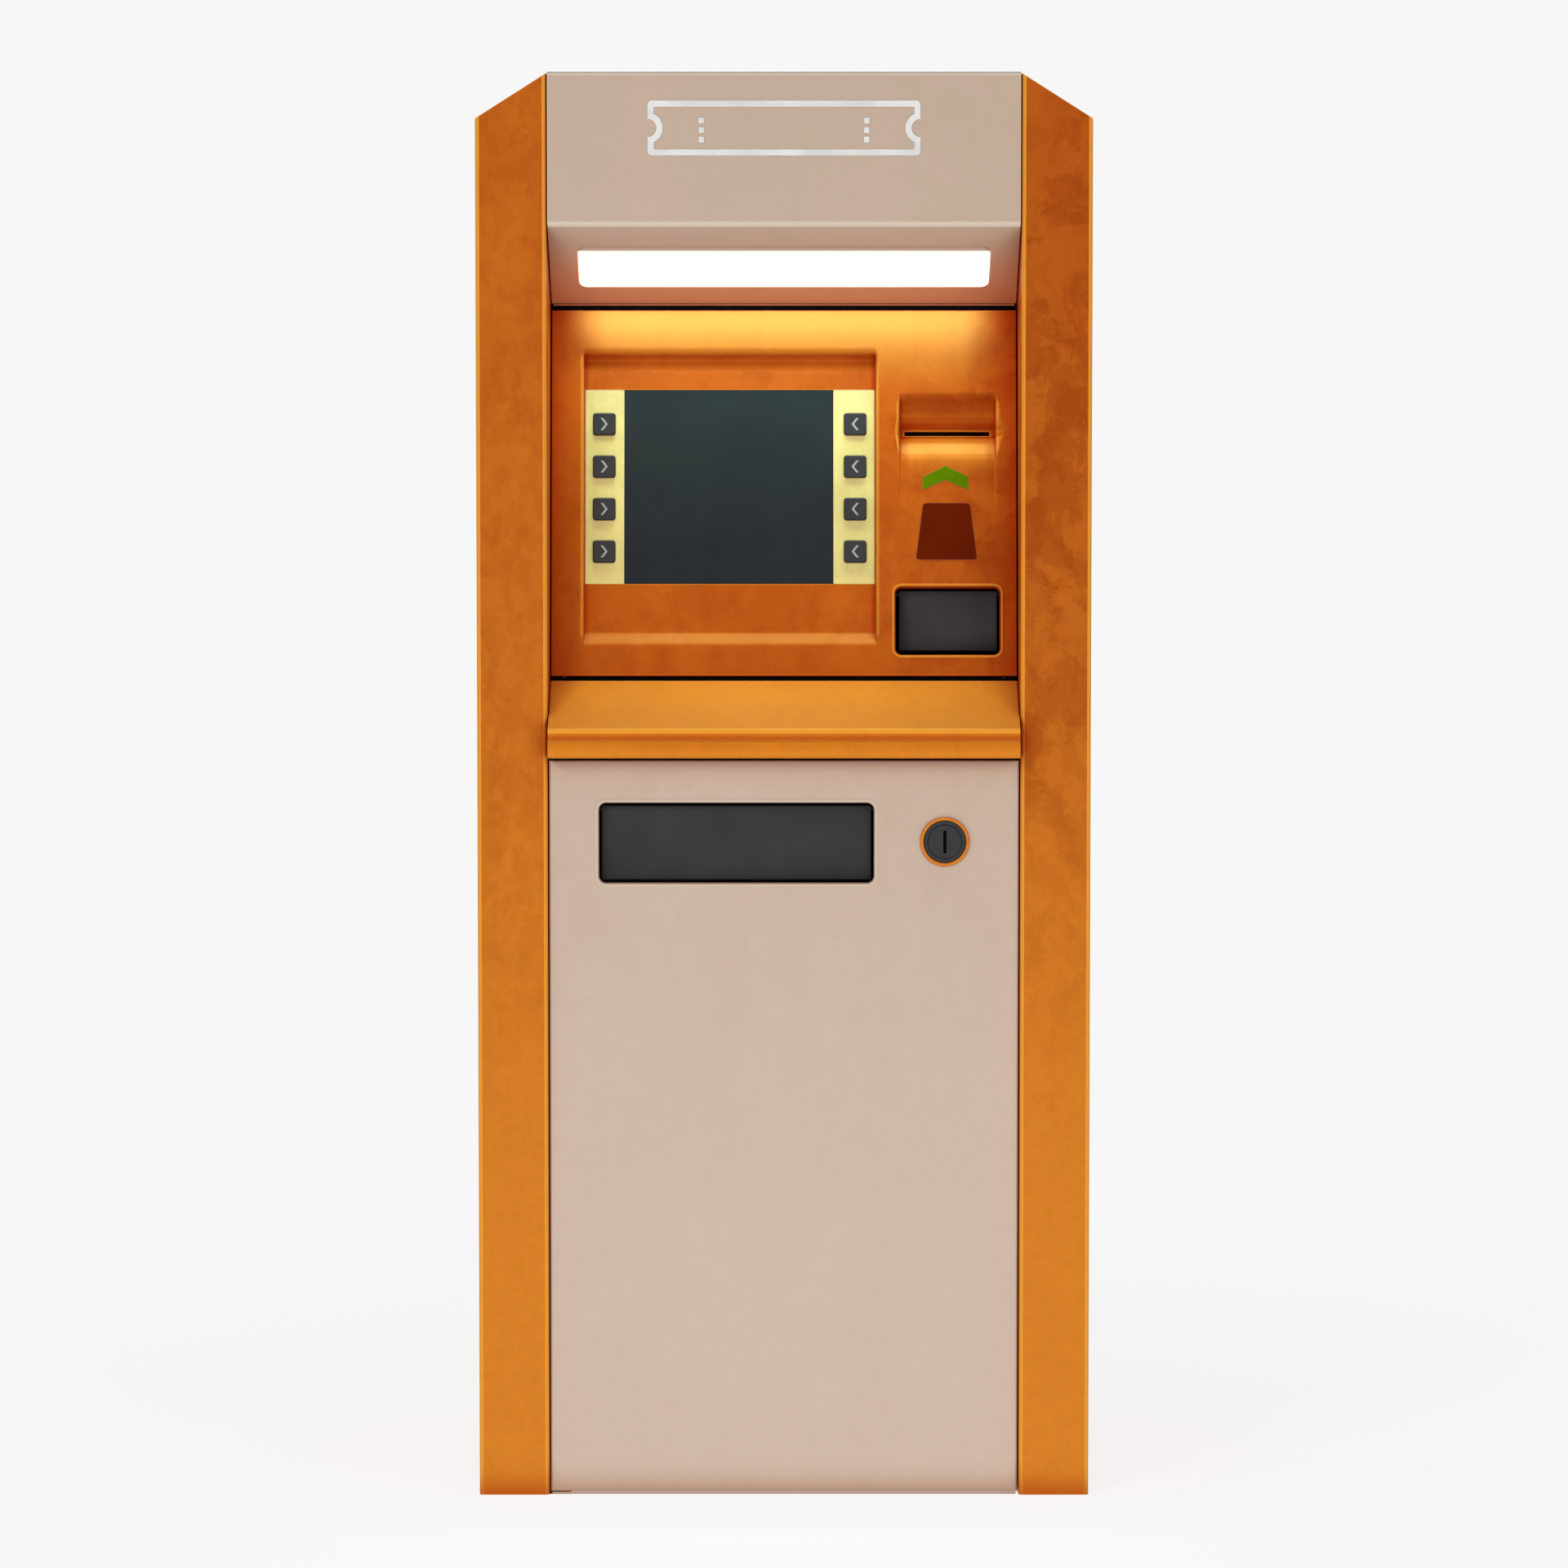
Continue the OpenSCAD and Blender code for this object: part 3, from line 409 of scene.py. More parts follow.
def paper(name):
    """Wound paper: fine layers seen on the ends, smooth outside."""
    look = Look(name, 0.8)
    layers = look.node(
        "ShaderNodeTexWave", {"Vector": look.place, "Scale": 260.0, "Distortion": 1.5, "Detail": 2.0},
        wave_type="BANDS", bands_direction="DIAGONAL",
    ).outputs[1]
    base = look.mix(look.spread(layers, 0.0, 0.5), (0.80, 0.78, 0.72, 1), (0.62, 0.59, 0.53, 1))
    look.colour(look.mix(look.spread(look.noise(30, 4), 0, 0.4), base, (0.72, 0.69, 0.62, 1)))
    look.bump((layers, 0.25, 0.0001), (look.noise(500, 3), 0.2, 0.0001))
    return look.material


def cable(name):
    """Black cable sheath, a little uneven in tone."""
    look = Look(name, 0.48)
    look.colour(look.mix(look.noise(50, 3), (0.014, 0.014, 0.015, 1), (0.03, 0.03, 0.031, 1)))
    look.roughness(look.spread(look.noise(120, 3), 0.40, 0.58))
    look.bump((look.noise(380, 2), 0.25, 0.00015))
    return look.material


def make_looks():
    # In the enamels, low is painted lighter than high by the floor's bounce, edge is the colour of a painted
    # highlight and deep that of painted shade.
    orange = dict(
        dark=srgb(150, 58, 13), deep=srgb(160, 32, 2), edge=srgb(240, 166, 60), tint=(1, 0.52, 0.08, 1),
    )
    beige = dict(deep=srgb(158, 102, 72), tint=(1, 0.9, 0.8, 1))
    return {
        "orange_paint": enamel(
            "orange_enamel", low=srgb(214, 128, 40), high=srgb(182, 88, 24), stain=srgb(200, 108, 30),
            **orange, blotch=0.55, roughness=0.42,
        ),
        "fascia_paint": enamel(
            "fascia_enamel", low=srgb(186, 88, 23), high=srgb(184, 90, 26), stain=srgb(170, 74, 17),
            **orange, blotch=0.6, roughness=0.36,
        ),
        "shelf_paint": enamel(
            "shelf_enamel", low=srgb(212, 120, 32), high=srgb(212, 120, 32), stain=srgb(204, 110, 28),
            **orange, blotch=0.12, roughness=0.36,
        ),
        # Paler copies of the paints, laid on rounded edges as a painted highlight.
        "orange_edge_highlight": enamel(
            "orange_edge_highlight", low=srgb(240, 170, 64), high=srgb(236, 158, 54), stain=srgb(228, 146, 46),
            **orange, blotch=0.15, roughness=0.38,
        ),
        "beige_edge_highlight": enamel(
            "beige_edge_highlight", low=srgb(220, 208, 192), high=srgb(206, 191, 173), dark=srgb(196, 180, 160),
            stain=srgb(206, 190, 172), edge=srgb(226, 216, 200), **beige, blotch=0.3, roughness=0.42,
        ),
        "orange_trim": enamel(
            "orange_trim", low=srgb(222, 128, 42), high=srgb(222, 128, 42), stain=srgb(210, 112, 30),
            **orange, blotch=0.2, roughness=0.34,
        ),
        "beige_paint": enamel(
            "beige_enamel", low=srgb(206, 183, 165), high=srgb(188, 165, 148), dark=srgb(184, 164, 140),
            stain=srgb(194, 168, 152), edge=srgb(214, 201, 184), **beige, blotch=0.5, roughness=0.45,
        ),
        "zinc_steel": zinc("zinc_sheet", (0.52, 0.53, 0.55, 1), 0.42),
        "screw_steel": zinc("machined_steel", (0.42, 0.42, 0.43, 1), 0.30),
        "lock_metal": plastic("lock_coating", srgb(32, 33, 35), 0.36, grain=1400, wear=0.6, specular=0.22),
        "equipment_case": plastic("case_coating", srgb(150, 152, 154), 0.5, grain=500, wear=0.2),
        "light_print": vinyl("light_vinyl", srgb(222, 222, 220)),
        "key_print": vinyl("key_legend", srgb(158, 156, 158)),
        "white_sheet": plastic("white_reflector", srgb(236, 236, 232), 0.6, grain=500, wear=0.1),
        "circuit_board": board("solder_mask"),
        "opal_lens": opal("opal_diffuser"),
        "screen_glass": glass("screen_glass"),
        "yellow_strip": plastic("key_strip", srgb(214, 195, 122), 0.5, grain=1000, wear=0.2),
        "key_plastic": plastic("key_plastic", srgb(46, 43, 46), 0.42, grain=1300, wear=0.45, specular=0.2),
        "green_print": vinyl("green_vinyl", srgb(86, 114, 3)),
        "maroon_print": vinyl("maroon_vinyl", srgb(97, 27, 5)),
        "dark_plastic": plastic("dark_plastic", srgb(46, 43, 46), 0.46, grain=900, wear=0.5, specular=0.2),
        "grey_plastic": plastic("grey_plastic", srgb(128, 129, 132), 0.5, grain=800, wear=0.3),
        "black_steel": plastic(
            "blackened_steel", srgb(26, 25, 26), 0.5, grain=1500, wear=0.2, specular=0.15,
        ),
        "rubber": rubber("black_rubber", (0.013, 0.013, 0.013, 1), 0.3),
        "hem_coating": plastic("hem_coating", srgb(166, 92, 58), 0.6, grain=900, wear=0.1, specular=0.1),
        "breaker_shell": plastic("breaker_shell", srgb(196, 197, 194), 0.4, grain=900, wear=0.2),
        # Near black with almost no shine, for the slot's brushes, the seams, the keyway and the vents: painted
        # shade.
        "painted_shade_black": rubber("painted_shade_black", (0.0015, 0.0012, 0.0010, 1), 0.02),
        "paper": paper("wound_paper"),
        "cable": cable("cable_sheath"),
    }


# ---------- mesh helpers ----------

# Edges that turn by more degrees than this stay crisp.
SHARP = 35


def piece(name, points_mm, faces, slot, body, replaced=(), solid=None, sharp=SHARP, look=None,
          relief_light=None):
    """A mesh piece from points in millimetres. solid is a wall thickness, laid behind the faces.

    relief values say how proud (towards 1) or sunk (towards -1) each point stands, and on the fascia how much lamp
    light is painted in; the paint lays a painted highlight on proud and lit points and painted shade on sunk ones.
    """
    mesh = bpy.data.meshes.new(name)
    mesh.from_pydata([tuple(float(c) * MM for c in p) for p in points_mm], [], faces)
    made = bpy.data.objects.new(name, mesh)
    bpy.context.scene.collection.objects.link(made)
    if relief_light is not None:
        mesh.attributes.new("relief_light", "FLOAT", "POINT").data.foreach_set("value", list(relief_light))
    clean = bmesh.new()
    clean.from_mesh(mesh)
    bmesh.ops.remove_doubles(clean, verts=clean.verts, dist=2e-6)
    bmesh.ops.dissolve_degenerate(clean, edges=clean.edges, dist=1e-6)
    loose = [v for v in clean.verts if not v.link_faces]
    bmesh.ops.delete(clean, geom=loose, context="VERTS")
    if solid is None:
        bmesh.ops.recalc_face_normals(clean, faces=clean.faces)
    clean.to_mesh(mesh)
    clean.free()
    if solid is not None:
        wall = made.modifiers.new("wall", "SOLIDIFY")
        wall.thickness = solid * MM
        wall.offset = -1
        apply_modifiers(made)
    smooth(made.data, sharp)
    made.data.materials.clear()
    made.data.materials.append(looks[look or slot])
    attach(made, body)
    if replaced:
        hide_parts(*replaced)
    return made


def apply_modifiers(made):
    bpy.context.view_layer.update()
    shape = made.evaluated_get(bpy.context.evaluated_depsgraph_get())
    mesh = bpy.data.meshes.new_from_object(shape)
    made.modifiers.clear()
    made.data = mesh


def smooth(mesh, sharp):
    mesh.polygons.foreach_set("use_smooth", [True] * len(mesh.polygons))
    mesh.set_sharp_from_angle(angle=math.radians(sharp))


def bevelled(made, width):
    edge = made.modifiers.new("edge", "BEVEL")
    edge.width = width * MM
    edge.segments = 3
    edge.limit_method = "ANGLE"
    edge.angle_limit = math.radians(SHARP)
    edge.harden_normals = True
    edge.use_clamp_overlap = True
    return edge


def ticks(*runs):
    """Grid lines from runs of (start, end, step)."""
    lines = []
    for start, end, step in runs:
        count = max(1, math.ceil((end - start) / step - 1e-6))
        lines += list(np.linspace(start, end, count, endpoint=False))
    return lines + [runs[-1][1]]


def widened(rect, rim):
    """A rectangle grown on every side."""
    left, right, bottom, top = rect
    return left - rim, right + rim, bottom - rim, top + rim


def folded_lines(inside, radius, depth):
    """Grid lines (place, depth) with a fold of this radius and depth at both ends."""
    bend = [math.radians(a) for a in range(0, 90, 15)]
    clear = radius + 0.3
    low, high = inside[0], inside[-1]
    arc = [(radius * (1 - math.cos(a)), radius * (1 - math.sin(a))) for a in bend]
    flat = [(x, 0.0) for x in inside if low + clear < x < high - clear]
    flat = [(low + radius, 0.0)] + flat + [(high - radius, 0.0)]
    first = [(low, depth)] + [(low + x, d) for x, d in arc]
    last = [(high - x, d) for x, d in reversed(arc)] + [(high, depth)]
    return first + flat + last


def onto_rounded(points, rect, radius, offset):
    """Points outside a rounded rectangle, moved straight onto it, offset outwards."""
    low = (rect[0] + radius, rect[2] + radius)
    high = (rect[1] - radius, rect[3] - radius)
    core = np.clip(points, low, high)
    away = points - core
    away /= np.linalg.norm(away, axis=1)[:, None]
    return core + away * (radius + offset)


def lip(radius, depth, steps=5):
    """A rolled lip as (offset outwards, depth), from the face to the back of its return."""
    arc = [math.radians(90 * k / steps) for k in range(steps + 1)]
    rolled = [(radius * (1 - math.sin(a)), radius * (1 - math.cos(a))) for a in arc]
    return rolled + [(0.0, depth)]


# A raised bead round an opening, as (offset outwards, depth): it stands proud, then rolls inwards.
BEAD = [(4.6, 0), (4.0, -0.25), (3.3, -0.6), (2.5, -0.75), (1.7, -0.5), (1.0, 0.1), (0.45, 1.0),
        (0.12, 2.1), (0, 3.4)]


def relief_of(depth, us, ws):
    """How proud (+1) or sunk (-1) the face stands among points near it; faint where all is shallow."""
    near = 2.2
    steps = ((near, 0), (-near, 0), (0, near), (0, -near))
    bulge = sum(depth(us + a, ws + b) for a, b in steps) / 4 - depth(us, ws)
    nearby = np.max([depth(us + 4 * a, ws + 4 * b) for a, b in steps], axis=0)
    crest = 0.7 * np.clip((bulge - 0.12) / 0.7, 0, 1)
    return (crest - np.clip((-bulge - 0.15) / 1.2, 0, 1)) * np.clip(nearby / 9, 0.12, 1)


def pressed_sheet(columns, rows, depth, holes):
    """A sheet pressed to depth(u, w) on grid lines that may be folded, with rolled or plain holes.

    A hole is (left, right, bottom, top, lips), on grid lines. Lips are (rect, radius, profile), or None
    for a plain hole.
    Returns points, faces and each point's relief, which the paint turns into painted highlight and shade.
    """
    us, fold_u = np.array(columns).T
    ws, fold_w = np.array(rows).T
    grid_u, grid_w = np.meshgrid(us, ws, indexing="ij")
    turned = np.maximum(fold_u[:, None], fold_w[None, :])
    deep = np.maximum(depth(grid_u, grid_w), turned)
    on_bend = (turned > 0) & (turned < 1.6)
    # Painted highlight on the folds' bends; elsewhere the relief gives painted highlight and shade.
    relief_light = np.where(on_bend, 0.6, relief_of(depth, grid_u, grid_w)).ravel().tolist()
    points = [tuple(p) for p in np.stack([grid_u, deep, grid_w], -1).reshape(-1, 3)]
    count = len(ws)
    open_cells = np.zeros((len(us) - 1, count - 1), bool)
    faces = []
    for left, right, bottom, top, rolled in holes:
        i0, i1 = [int(np.argmin(abs(us - x) + fold_u)) for x in (left, right)]
        j0, j1 = [int(np.argmin(abs(ws - x) + fold_w)) for x in (bottom, top)]
        open_cells[i0:i1, j0:j1] = True
        if rolled is None:
            continue
        rect, radius, profile = rolled
        loop = (
            [(i, j0) for i in range(i0, i1)] + [(i1, j) for j in range(j0, j1)]
            + [(i, j1) for i in range(i1, i0, -1)] + [(i0, j) for j in range(j1, j0, -1)]
        )
        edge = [i * count + j for i, j in loop]
        flat = np.array([(us[i], ws[j]) for i, j in loop])
        base = np.array([deep[i, j] for i, j in loop])
        for offset, down in profile:
            ring = onto_rounded(flat, rect, radius, offset)
            start = len(points)
            points += [(x, d + down, w) for (x, w), d in zip(ring, base)]
            # The bead's crest takes a painted highlight, and its roll into the hole painted shade.
            relief_light += [-down / 1.1 if down < 0 else -min(1.0, down / 2)] * len(loop)
            new = list(range(start, len(points)))
            for k in range(len(loop)):
                m = (k + 1) % len(loop)
                faces.append((edge[k], edge[m], new[m], new[k]))
            edge = new
    for i in range(len(us) - 1):
        for j in range(count - 1):
            if not open_cells[i, j]:
                a = i * count + j
                faces.append((a, a + count, a + count + 1, a + 1))
    return points, faces, relief_light


def rounded_loop(half_u, half_w, radius, corner=6):
    """Points round a rounded rectangle about the origin."""
    loop = []
    for turn, (su, sw) in enumerate([(1, 1), (-1, 1), (-1, -1), (1, -1)]):
        for k in range(corner + 1):
            a = math.radians(90 * turn + 90 * k / corner)
            loop.append((su * (half_u - radius) + radius * math.cos(a),
                         sw * (half_w - radius) + radius * math.sin(a)))
    return loop


def loft(loops):
    """Faces through loops of equal length, closed at both ends. Each loop is a list of 3-D points."""
    n = len(loops[0])
    points = [p for loop in loops for p in loop]
    faces = [tuple(range(n)), tuple(range(len(points) - 1, len(points) - n - 1, -1))]
    for i in range(len(loops) - 1):
        for k in range(n):
            m = (k + 1) % n
            faces.append((i * n + k, (i + 1) * n + k, (i + 1) * n + m, i * n + m))
    return points, faces


# ---------- the fascia's frame ----------

LEAN = math.radians(8)
FASCIA_RETURN = 22
FASCIA_BOTTOM = 2
fascia_y = front_y + 72
fascia_z = (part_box("fascia")[0].z / MM - FASCIA_BOTTOM * math.cos(LEAN)
            + FASCIA_RETURN * math.sin(LEAN))
FASCIA_HALF = 263.5
FASCIA_TOP = 418.5
SLOT_MIDDLE = (185.2, 279.7)
MOUTH = (126.2, 244.4, 26.2, 102.7)
WINDOW = (-225.5, 102.8, 107.3, 328.7)


def from_fascia(points):
    """Points (u, d, w) on the fascia as (x, y, z)."""
    u, d, w = np.array(points, float).T
    y = fascia_y + w * math.sin(LEAN) + d * math.cos(LEAN)
    z = fascia_z + w * math.cos(LEAN) - d * math.sin(LEAN)
    return np.stack([u, y, z], -1)


# How deep the screen's recess is at each height: a ledge, the floor, a gutter and a soft brow.
RECESS = [(36.5, 0), (38, 0.5), (40, 1.7), (50.5, 9.0), (52.5, 9.8), (54.5, 10), (348, 10), (352, 10.8),
          (356, 12.6), (359, 13.8), (362, 14), (364.5, 12.4), (366.5, 9.4), (368.5, 5.6), (370.5, 2.8),
          (372.5, 1.1), (375, 0.2), (377, 0)]
# The same for the hollow round the ticket slot: a shallow step, a ramp, the slot's wall, a brow.
HOLLOW = [(180, 0), (187, 0.1), (194, 0.4), (200, 0.9), (205, 1.5), (209, 1.88), (213, 2), (243, 2),
          (249, 2.7), (255, 5.0), (261, 8.6), (267, 13.0), (272, 17.0), (275.0, 20.4), (275.4, 22),
          (284.6, 22), (287, 19.5), (291, 15.6), (297, 13), (303, 12), (307, 12.4), (311, 10.5),
          (315, 6.8), (318, 3.4), (321, 1.1), (324, 0)]
# Each side wall of the recess, as (end of the face, start of the floor), and the hollow's floor.
RECESS_LEFT = (-231.5, -226.2)
RECESS_RIGHT = (108.8, 103.6)
HOLLOW_FLOOR = (131.8, 239.5)


def roll(value, face, foot):
    """Share of a wall's depth across its width: tangent to the face, and steep at the foot."""
    t = np.clip((value - foot) / (face - foot), 0, 1)
    return 1 - np.sqrt(np.clip(1 - (1 - t) ** 2, 0, 1))


def fascia_depth(u, w):
    """How far the fascia is pressed in: the screen's recess and the slot's hollow."""
    recess = np.interp(w, *np.array(RECESS).T)
    recess = recess * np.where(u < 0, roll(u, *RECESS_LEFT), roll(u, *RECESS_RIGHT))
    hollow = np.interp(w, *np.array(HOLLOW).T)
    low, high = HOLLOW_FLOOR
    left_wall, right_wall = 0.22 * hollow + 1.2, 0.42 * hollow + 1.2
    sides = np.where(u < SLOT_MIDDLE[0], roll(u, low - left_wall, low), roll(u, high + right_wall, high))
    return np.maximum(recess, hollow * sides)


def lamp_light(u, d, w):
    """How much lamp light is painted into the fascia's colour at a point: high up, and on the slot's sill."""
    high = np.clip((w - 300) / 100, 0, 1)
    inside = np.clip((262 - abs(u)) / 60, 0, 1)
    proud = np.clip(1.3 - d / 8, 0, 1)
    by_slot = np.clip((54 - abs(u - SLOT_MIDDLE[0])) / 12, 0, 1)
    sill = np.clip((w - 208) / 48, 0, 1) * by_slot * (w < 268)
    return max(0.75 * (high * inside * proud), 0.45 * sill)


def make_fascia():
    """The pressed fascia, on a grid that is fine at its walls, with the three openings."""
    left, right, bottom, top = WINDOW
    mouth_rim = 5
    m_left, m_right, m_bottom, m_top = widened(MOUTH, mouth_rim)
    slot_half_u, slot_half_w = 50.9, 4.2
    s_left, s_right = SLOT_MIDDLE[0] - slot_half_u, SLOT_MIDDLE[0] + slot_half_u
    s_low, s_high = SLOT_MIDDLE[1] - slot_half_w, SLOT_MIDDLE[1] + slot_half_w
    columns = ticks(
        (-FASCIA_HALF, -232, 4), (-232, left, 0.45), (left, right, 6), (right, 109.5, 0.45),
        (109.5, m_left, 3.4), (m_left, s_left, 0.8), (s_left, 144, 0.9), (144, 228, 3),
        (228, s_right, 0.9), (s_right, m_right, 0.8), (m_right, FASCIA_HALF, 3.5),
    )
    rows = ticks(
        (FASCIA_BOTTOM, m_bottom, 3), (m_bottom, 56, 0.9), (56, 88, 4), (88, bottom, 0.9),
        (bottom, m_top, 0.4), (m_top, 178, 4), (178, 209, 1.5), (209, 243, 3.2), (243, 274.5, 1.2),
        (274.5, s_low, 0.34), (s_low, s_high, 2), (s_high, 286, 0.7), (286, top, 1.1), (top, 346, 4),
        (346, 378, 0.7), (378, FASCIA_TOP, 4),
    )
    holes = [
        (left, right, bottom, top, None),
        (s_left, s_right, s_low, s_high, None),
        (m_left, m_right, m_bottom, m_top, (MOUTH, 7, BEAD + [(0, 20)])),
    ]
    points, faces, relief_light = pressed_sheet(
        folded_lines(columns, 1.5, 3), folded_lines(rows, 2, FASCIA_RETURN), fascia_depth, holes)
    # Painted highlight: the lamp's light is painted in as pale paint, over the relief's painted highlight and
    # shade.
    lit = [lamp_light(*point) for point in points]
    relief_light = [max(r, bright) if r > -0.2 else r for r, bright in zip(relief_light, lit)]
    piece("fascia_shell", from_fascia(points), faces, "orange_paint", "cabinet", ["fascia"], solid=2.4,
          look="fascia_paint", relief_light=relief_light)


def make_slot_bezel():
    """A slim frame with rolled lips, let into the hollow's back wall."""
    outer, inner = (50.8, 4.1, 1.0), (48.3, 2.2, 1.5)
    loops = []
    for (hu, hw, r), d in [(outer, 26), (outer, 21.9), ((50.4, 3.7, 0.9), 21.4), ((49.9, 3.3, 1.0), 21.2),
                           ((49.0, 2.7, 1.2), 21.4), ((48.5, 2.35, 1.4), 22.0), (inner, 23), (inner, 26)]:
        loops.append([(SLOT_MIDDLE[0] + x, d, SLOT_MIDDLE[1] + y) for x, y in rounded_loop(hu, hw, r)])
    points, faces = loft(loops)
    # The two end caps give way to a wall that joins the last loop to the first.
    faces = faces[2:]
    n, last = len(loops[0]), (len(loops) - 1) * len(loops[0])
    faces += [(k, last + k, last + (k + 1) % n, (k + 1) % n) for k in range(n)]
    piece("slot_frame", from_fascia(points), faces, "orange_trim", "cabinet", ["slot_bezel"])


SLOPE = math.radians(33.5)
LENS_HALF_LENGTH = 230.7
LENS_HALF_WIDTH = 39.2
LENS_MIDDLE = 79.5


def on_slope(x, along, out):
    """A point on the header's sloping underside: along down the slope, out towards the shelf."""
    lo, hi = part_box("light_lens")
    flange_end, flange_front, flange_back = 125, 2.6, 5
    y0 = hi.y / MM - flange_end * math.cos(SLOPE) - flange_back * math.sin(SLOPE)
    z0 = lo.z / MM + flange_end * math.sin(SLOPE) - flange_front * math.cos(SLOPE)
    return (x, y0 + along * math.cos(SLOPE) - out * math.sin(SLOPE),
            z0 - along * math.sin(SLOPE) - out * math.cos(SLOPE))


def make_lens():
    """The lit diffuser: a shallow pillow that stands a little proud of the header's slope."""
    flange = 6
    profile = [(flange, 12, -5), (flange, 12, -2.7), (0, 8.7, -2.6), (0, 8.7, 0.2), (-0.5, 8.4, 1.1),
               (-1.6, 8, 1.7), (-3.4, 7, 2.0), (-12, 4, 2.3)]
    loops = [
        [on_slope(u, LENS_MIDDLE + v, out)
         for u, v in rounded_loop(LENS_HALF_LENGTH + grow, LENS_HALF_WIDTH + grow, radius)]
        for grow, radius, out in profile
    ]
    points, faces = loft(loops)
    piece("lens_pillow", points, faces, "opal_lens", "cabinet", ["light_lens"])


# ---------- keys ----------

def make_key(joint):
    """One key with a dished cap, and its inlaid chevron that points at the screen."""
    node = joint["child"]
    x, y, z = (c / MM for c in joint["pos_m"])
    into = np.array(joint["axis"])
    up = np.array([0, -into[2], into[1]])
    front = 6.5

    def place(loop, d):
        return [tuple(np.array([x, y, z]) + (d - front) * into + np.array([u, 0, 0]) + w * up)
                for u, w in loop]

    profile = [(4, 4, 20), (4, 4, 15.2), (14.5, 3, 15), (14.5, 3, 13.8), (12.5, 3, 13.6), (12.5, 3, 8.2),
               (12.4, 3, 7.5), (12.1, 3, 6.95), (11.6, 2.9, 6.6), (11.0, 2.8, 6.5), (9.5, 2.6, 6.62),
               (7.0, 2.4, 6.85), (3.5, 1.6, 7.05)]
    points, faces = loft([place(rounded_loop(h, h, r), d) for h, r, d in profile])
    piece(f"{node}_cap", points, faces, "key_plastic", node, [node], sharp=50)

    half_w, half_h, stroke = 4.0, 6.8, 2.7
    side = 1 if "left" in node else -1
    outline = [(-half_w, half_h), (-half_w + stroke, half_h), (half_w, 0), (-half_w + stroke, -half_h),
               (-half_w, -half_h), (half_w - stroke, 0)]
    outline = [(side * u, w) for u, w in outline]
    points, faces = loft([place(outline, d) for d in (7.3, 6.7)])
    piece(f"{node}_chevron", points, faces, "key_print", node)


# ---------- service door ----------

def unpressed(u, w):
    return np.zeros_like(u)


def make_door():
    """The folded door skin with its rolled flap opening and lock hole."""
    lo, hi = (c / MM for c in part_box("service_door"))
    lock = next(j for j in frame["joints"] if j["name"] == "lock_turn")["pos_m"]
    # A rectangle of no size, on the lock's axis.
    lock_middle = (lock[0] / MM, lock[0] / MM, lock[2] / MM, lock[2] / MM)
    opening = (-207.6, 100.8, 694, 784)
    rim, corner, lock_r, lock_rim = 6, 16, 23.9, 30
    left, right, bottom, top = widened(opening, rim)
    lock_left, lock_right, lock_low, lock_high = widened(lock_middle, lock_rim)
    columns = ticks(
        (lo.x, left, 6), (left, left + corner, 0.9), (left + corner, right - corner, 12),
        (right - corner, right, 0.9),
        (right, lock_left, 6), (lock_left, lock_right, 2), (lock_right, hi.x, 6),
    )
    rows = ticks(
        (lo.z, bottom, 14), (bottom, bottom + corner, 0.9), (bottom + corner, lock_low, 3),
        (lock_low, lock_high, 2), (lock_high, top, 0.9), (top, hi.z, 6),
    )
    holes = [
        (left, right, bottom, top, (opening, 8, BEAD + [(0, 8)])),
        (lock_left, lock_right, lock_low, lock_high,
         (widened(lock_middle, lock_r), lock_r - 0.001, lip(0.6, 2))),
    ]
    points, faces, relief_light = pressed_sheet(
        folded_lines(columns, 4, 30), folded_lines(rows, 2.5, 24), unpressed, holes)
    placed = [(u, lo.y + d, w) for u, d, w in points]
    piece("door_skin", placed, faces, "beige_paint", "service_door", ["service_door"], solid=2,
          relief_light=relief_light)


# ---------- shelf ----------

def shelf_profile():
    """The shelf's face as (y, z, relief): slope, nose, groove, flared band and under-turn. The relief lays a
    painted highlight on the nose and the under-turn, and painted shade in the groove.
    """
    fall, nose_r = math.radians(27.6), 4.5
    lip_y, low_z = (c / MM for c in (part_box("shelf")[0].y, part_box("shelf")[0].z))
    nose_y, nose_z = lip_y + 8.5, low_z + 29.5
    start = (nose_y - nose_r * math.sin(fall), nose_z + nose_r * math.cos(fall))
    slope = [(y, start[1] + (y - start[0]) * math.tan(fall), 0.0)
             for y in (fascia_y, fascia_y - 1, -225, front_y, start[0] + 4)]
    turn = [math.radians(a) for a in np.linspace(117.6, 185, 9)]
    nose = [(nose_y + nose_r * math.cos(a), nose_z + nose_r * math.sin(a), 1.0) for a in turn]
    nose[0] = nose[0][:2] + (0.3,)
    ease = [(t, t * t * (3 - 2 * t)) for t in np.linspace(0, 1, 7)]
    groove = [(nose_y - 4.48 + 1.7 * e, nose_z - 1 - 5 * t, 0.5 - 1.2 * t) for t, e in ease[1:]]
    flare_y = groove[-1][0]
    flare = [(flare_y + (lip_y - flare_y) * e, groove[-1][1] - 9 * t, -0.7 + 0.8 * e) for t, e in ease[1:]]
    foot = [math.radians(a) for a in np.linspace(180, 270, 8)]
    under = [(lip_y + 6 + 6 * math.cos(a), low_z + 6 + 6 * math.sin(a), 0.35) for a in foot]
    return slope + nose + groove + flare + under + [(front_y + 2, low_z, 0.0)]


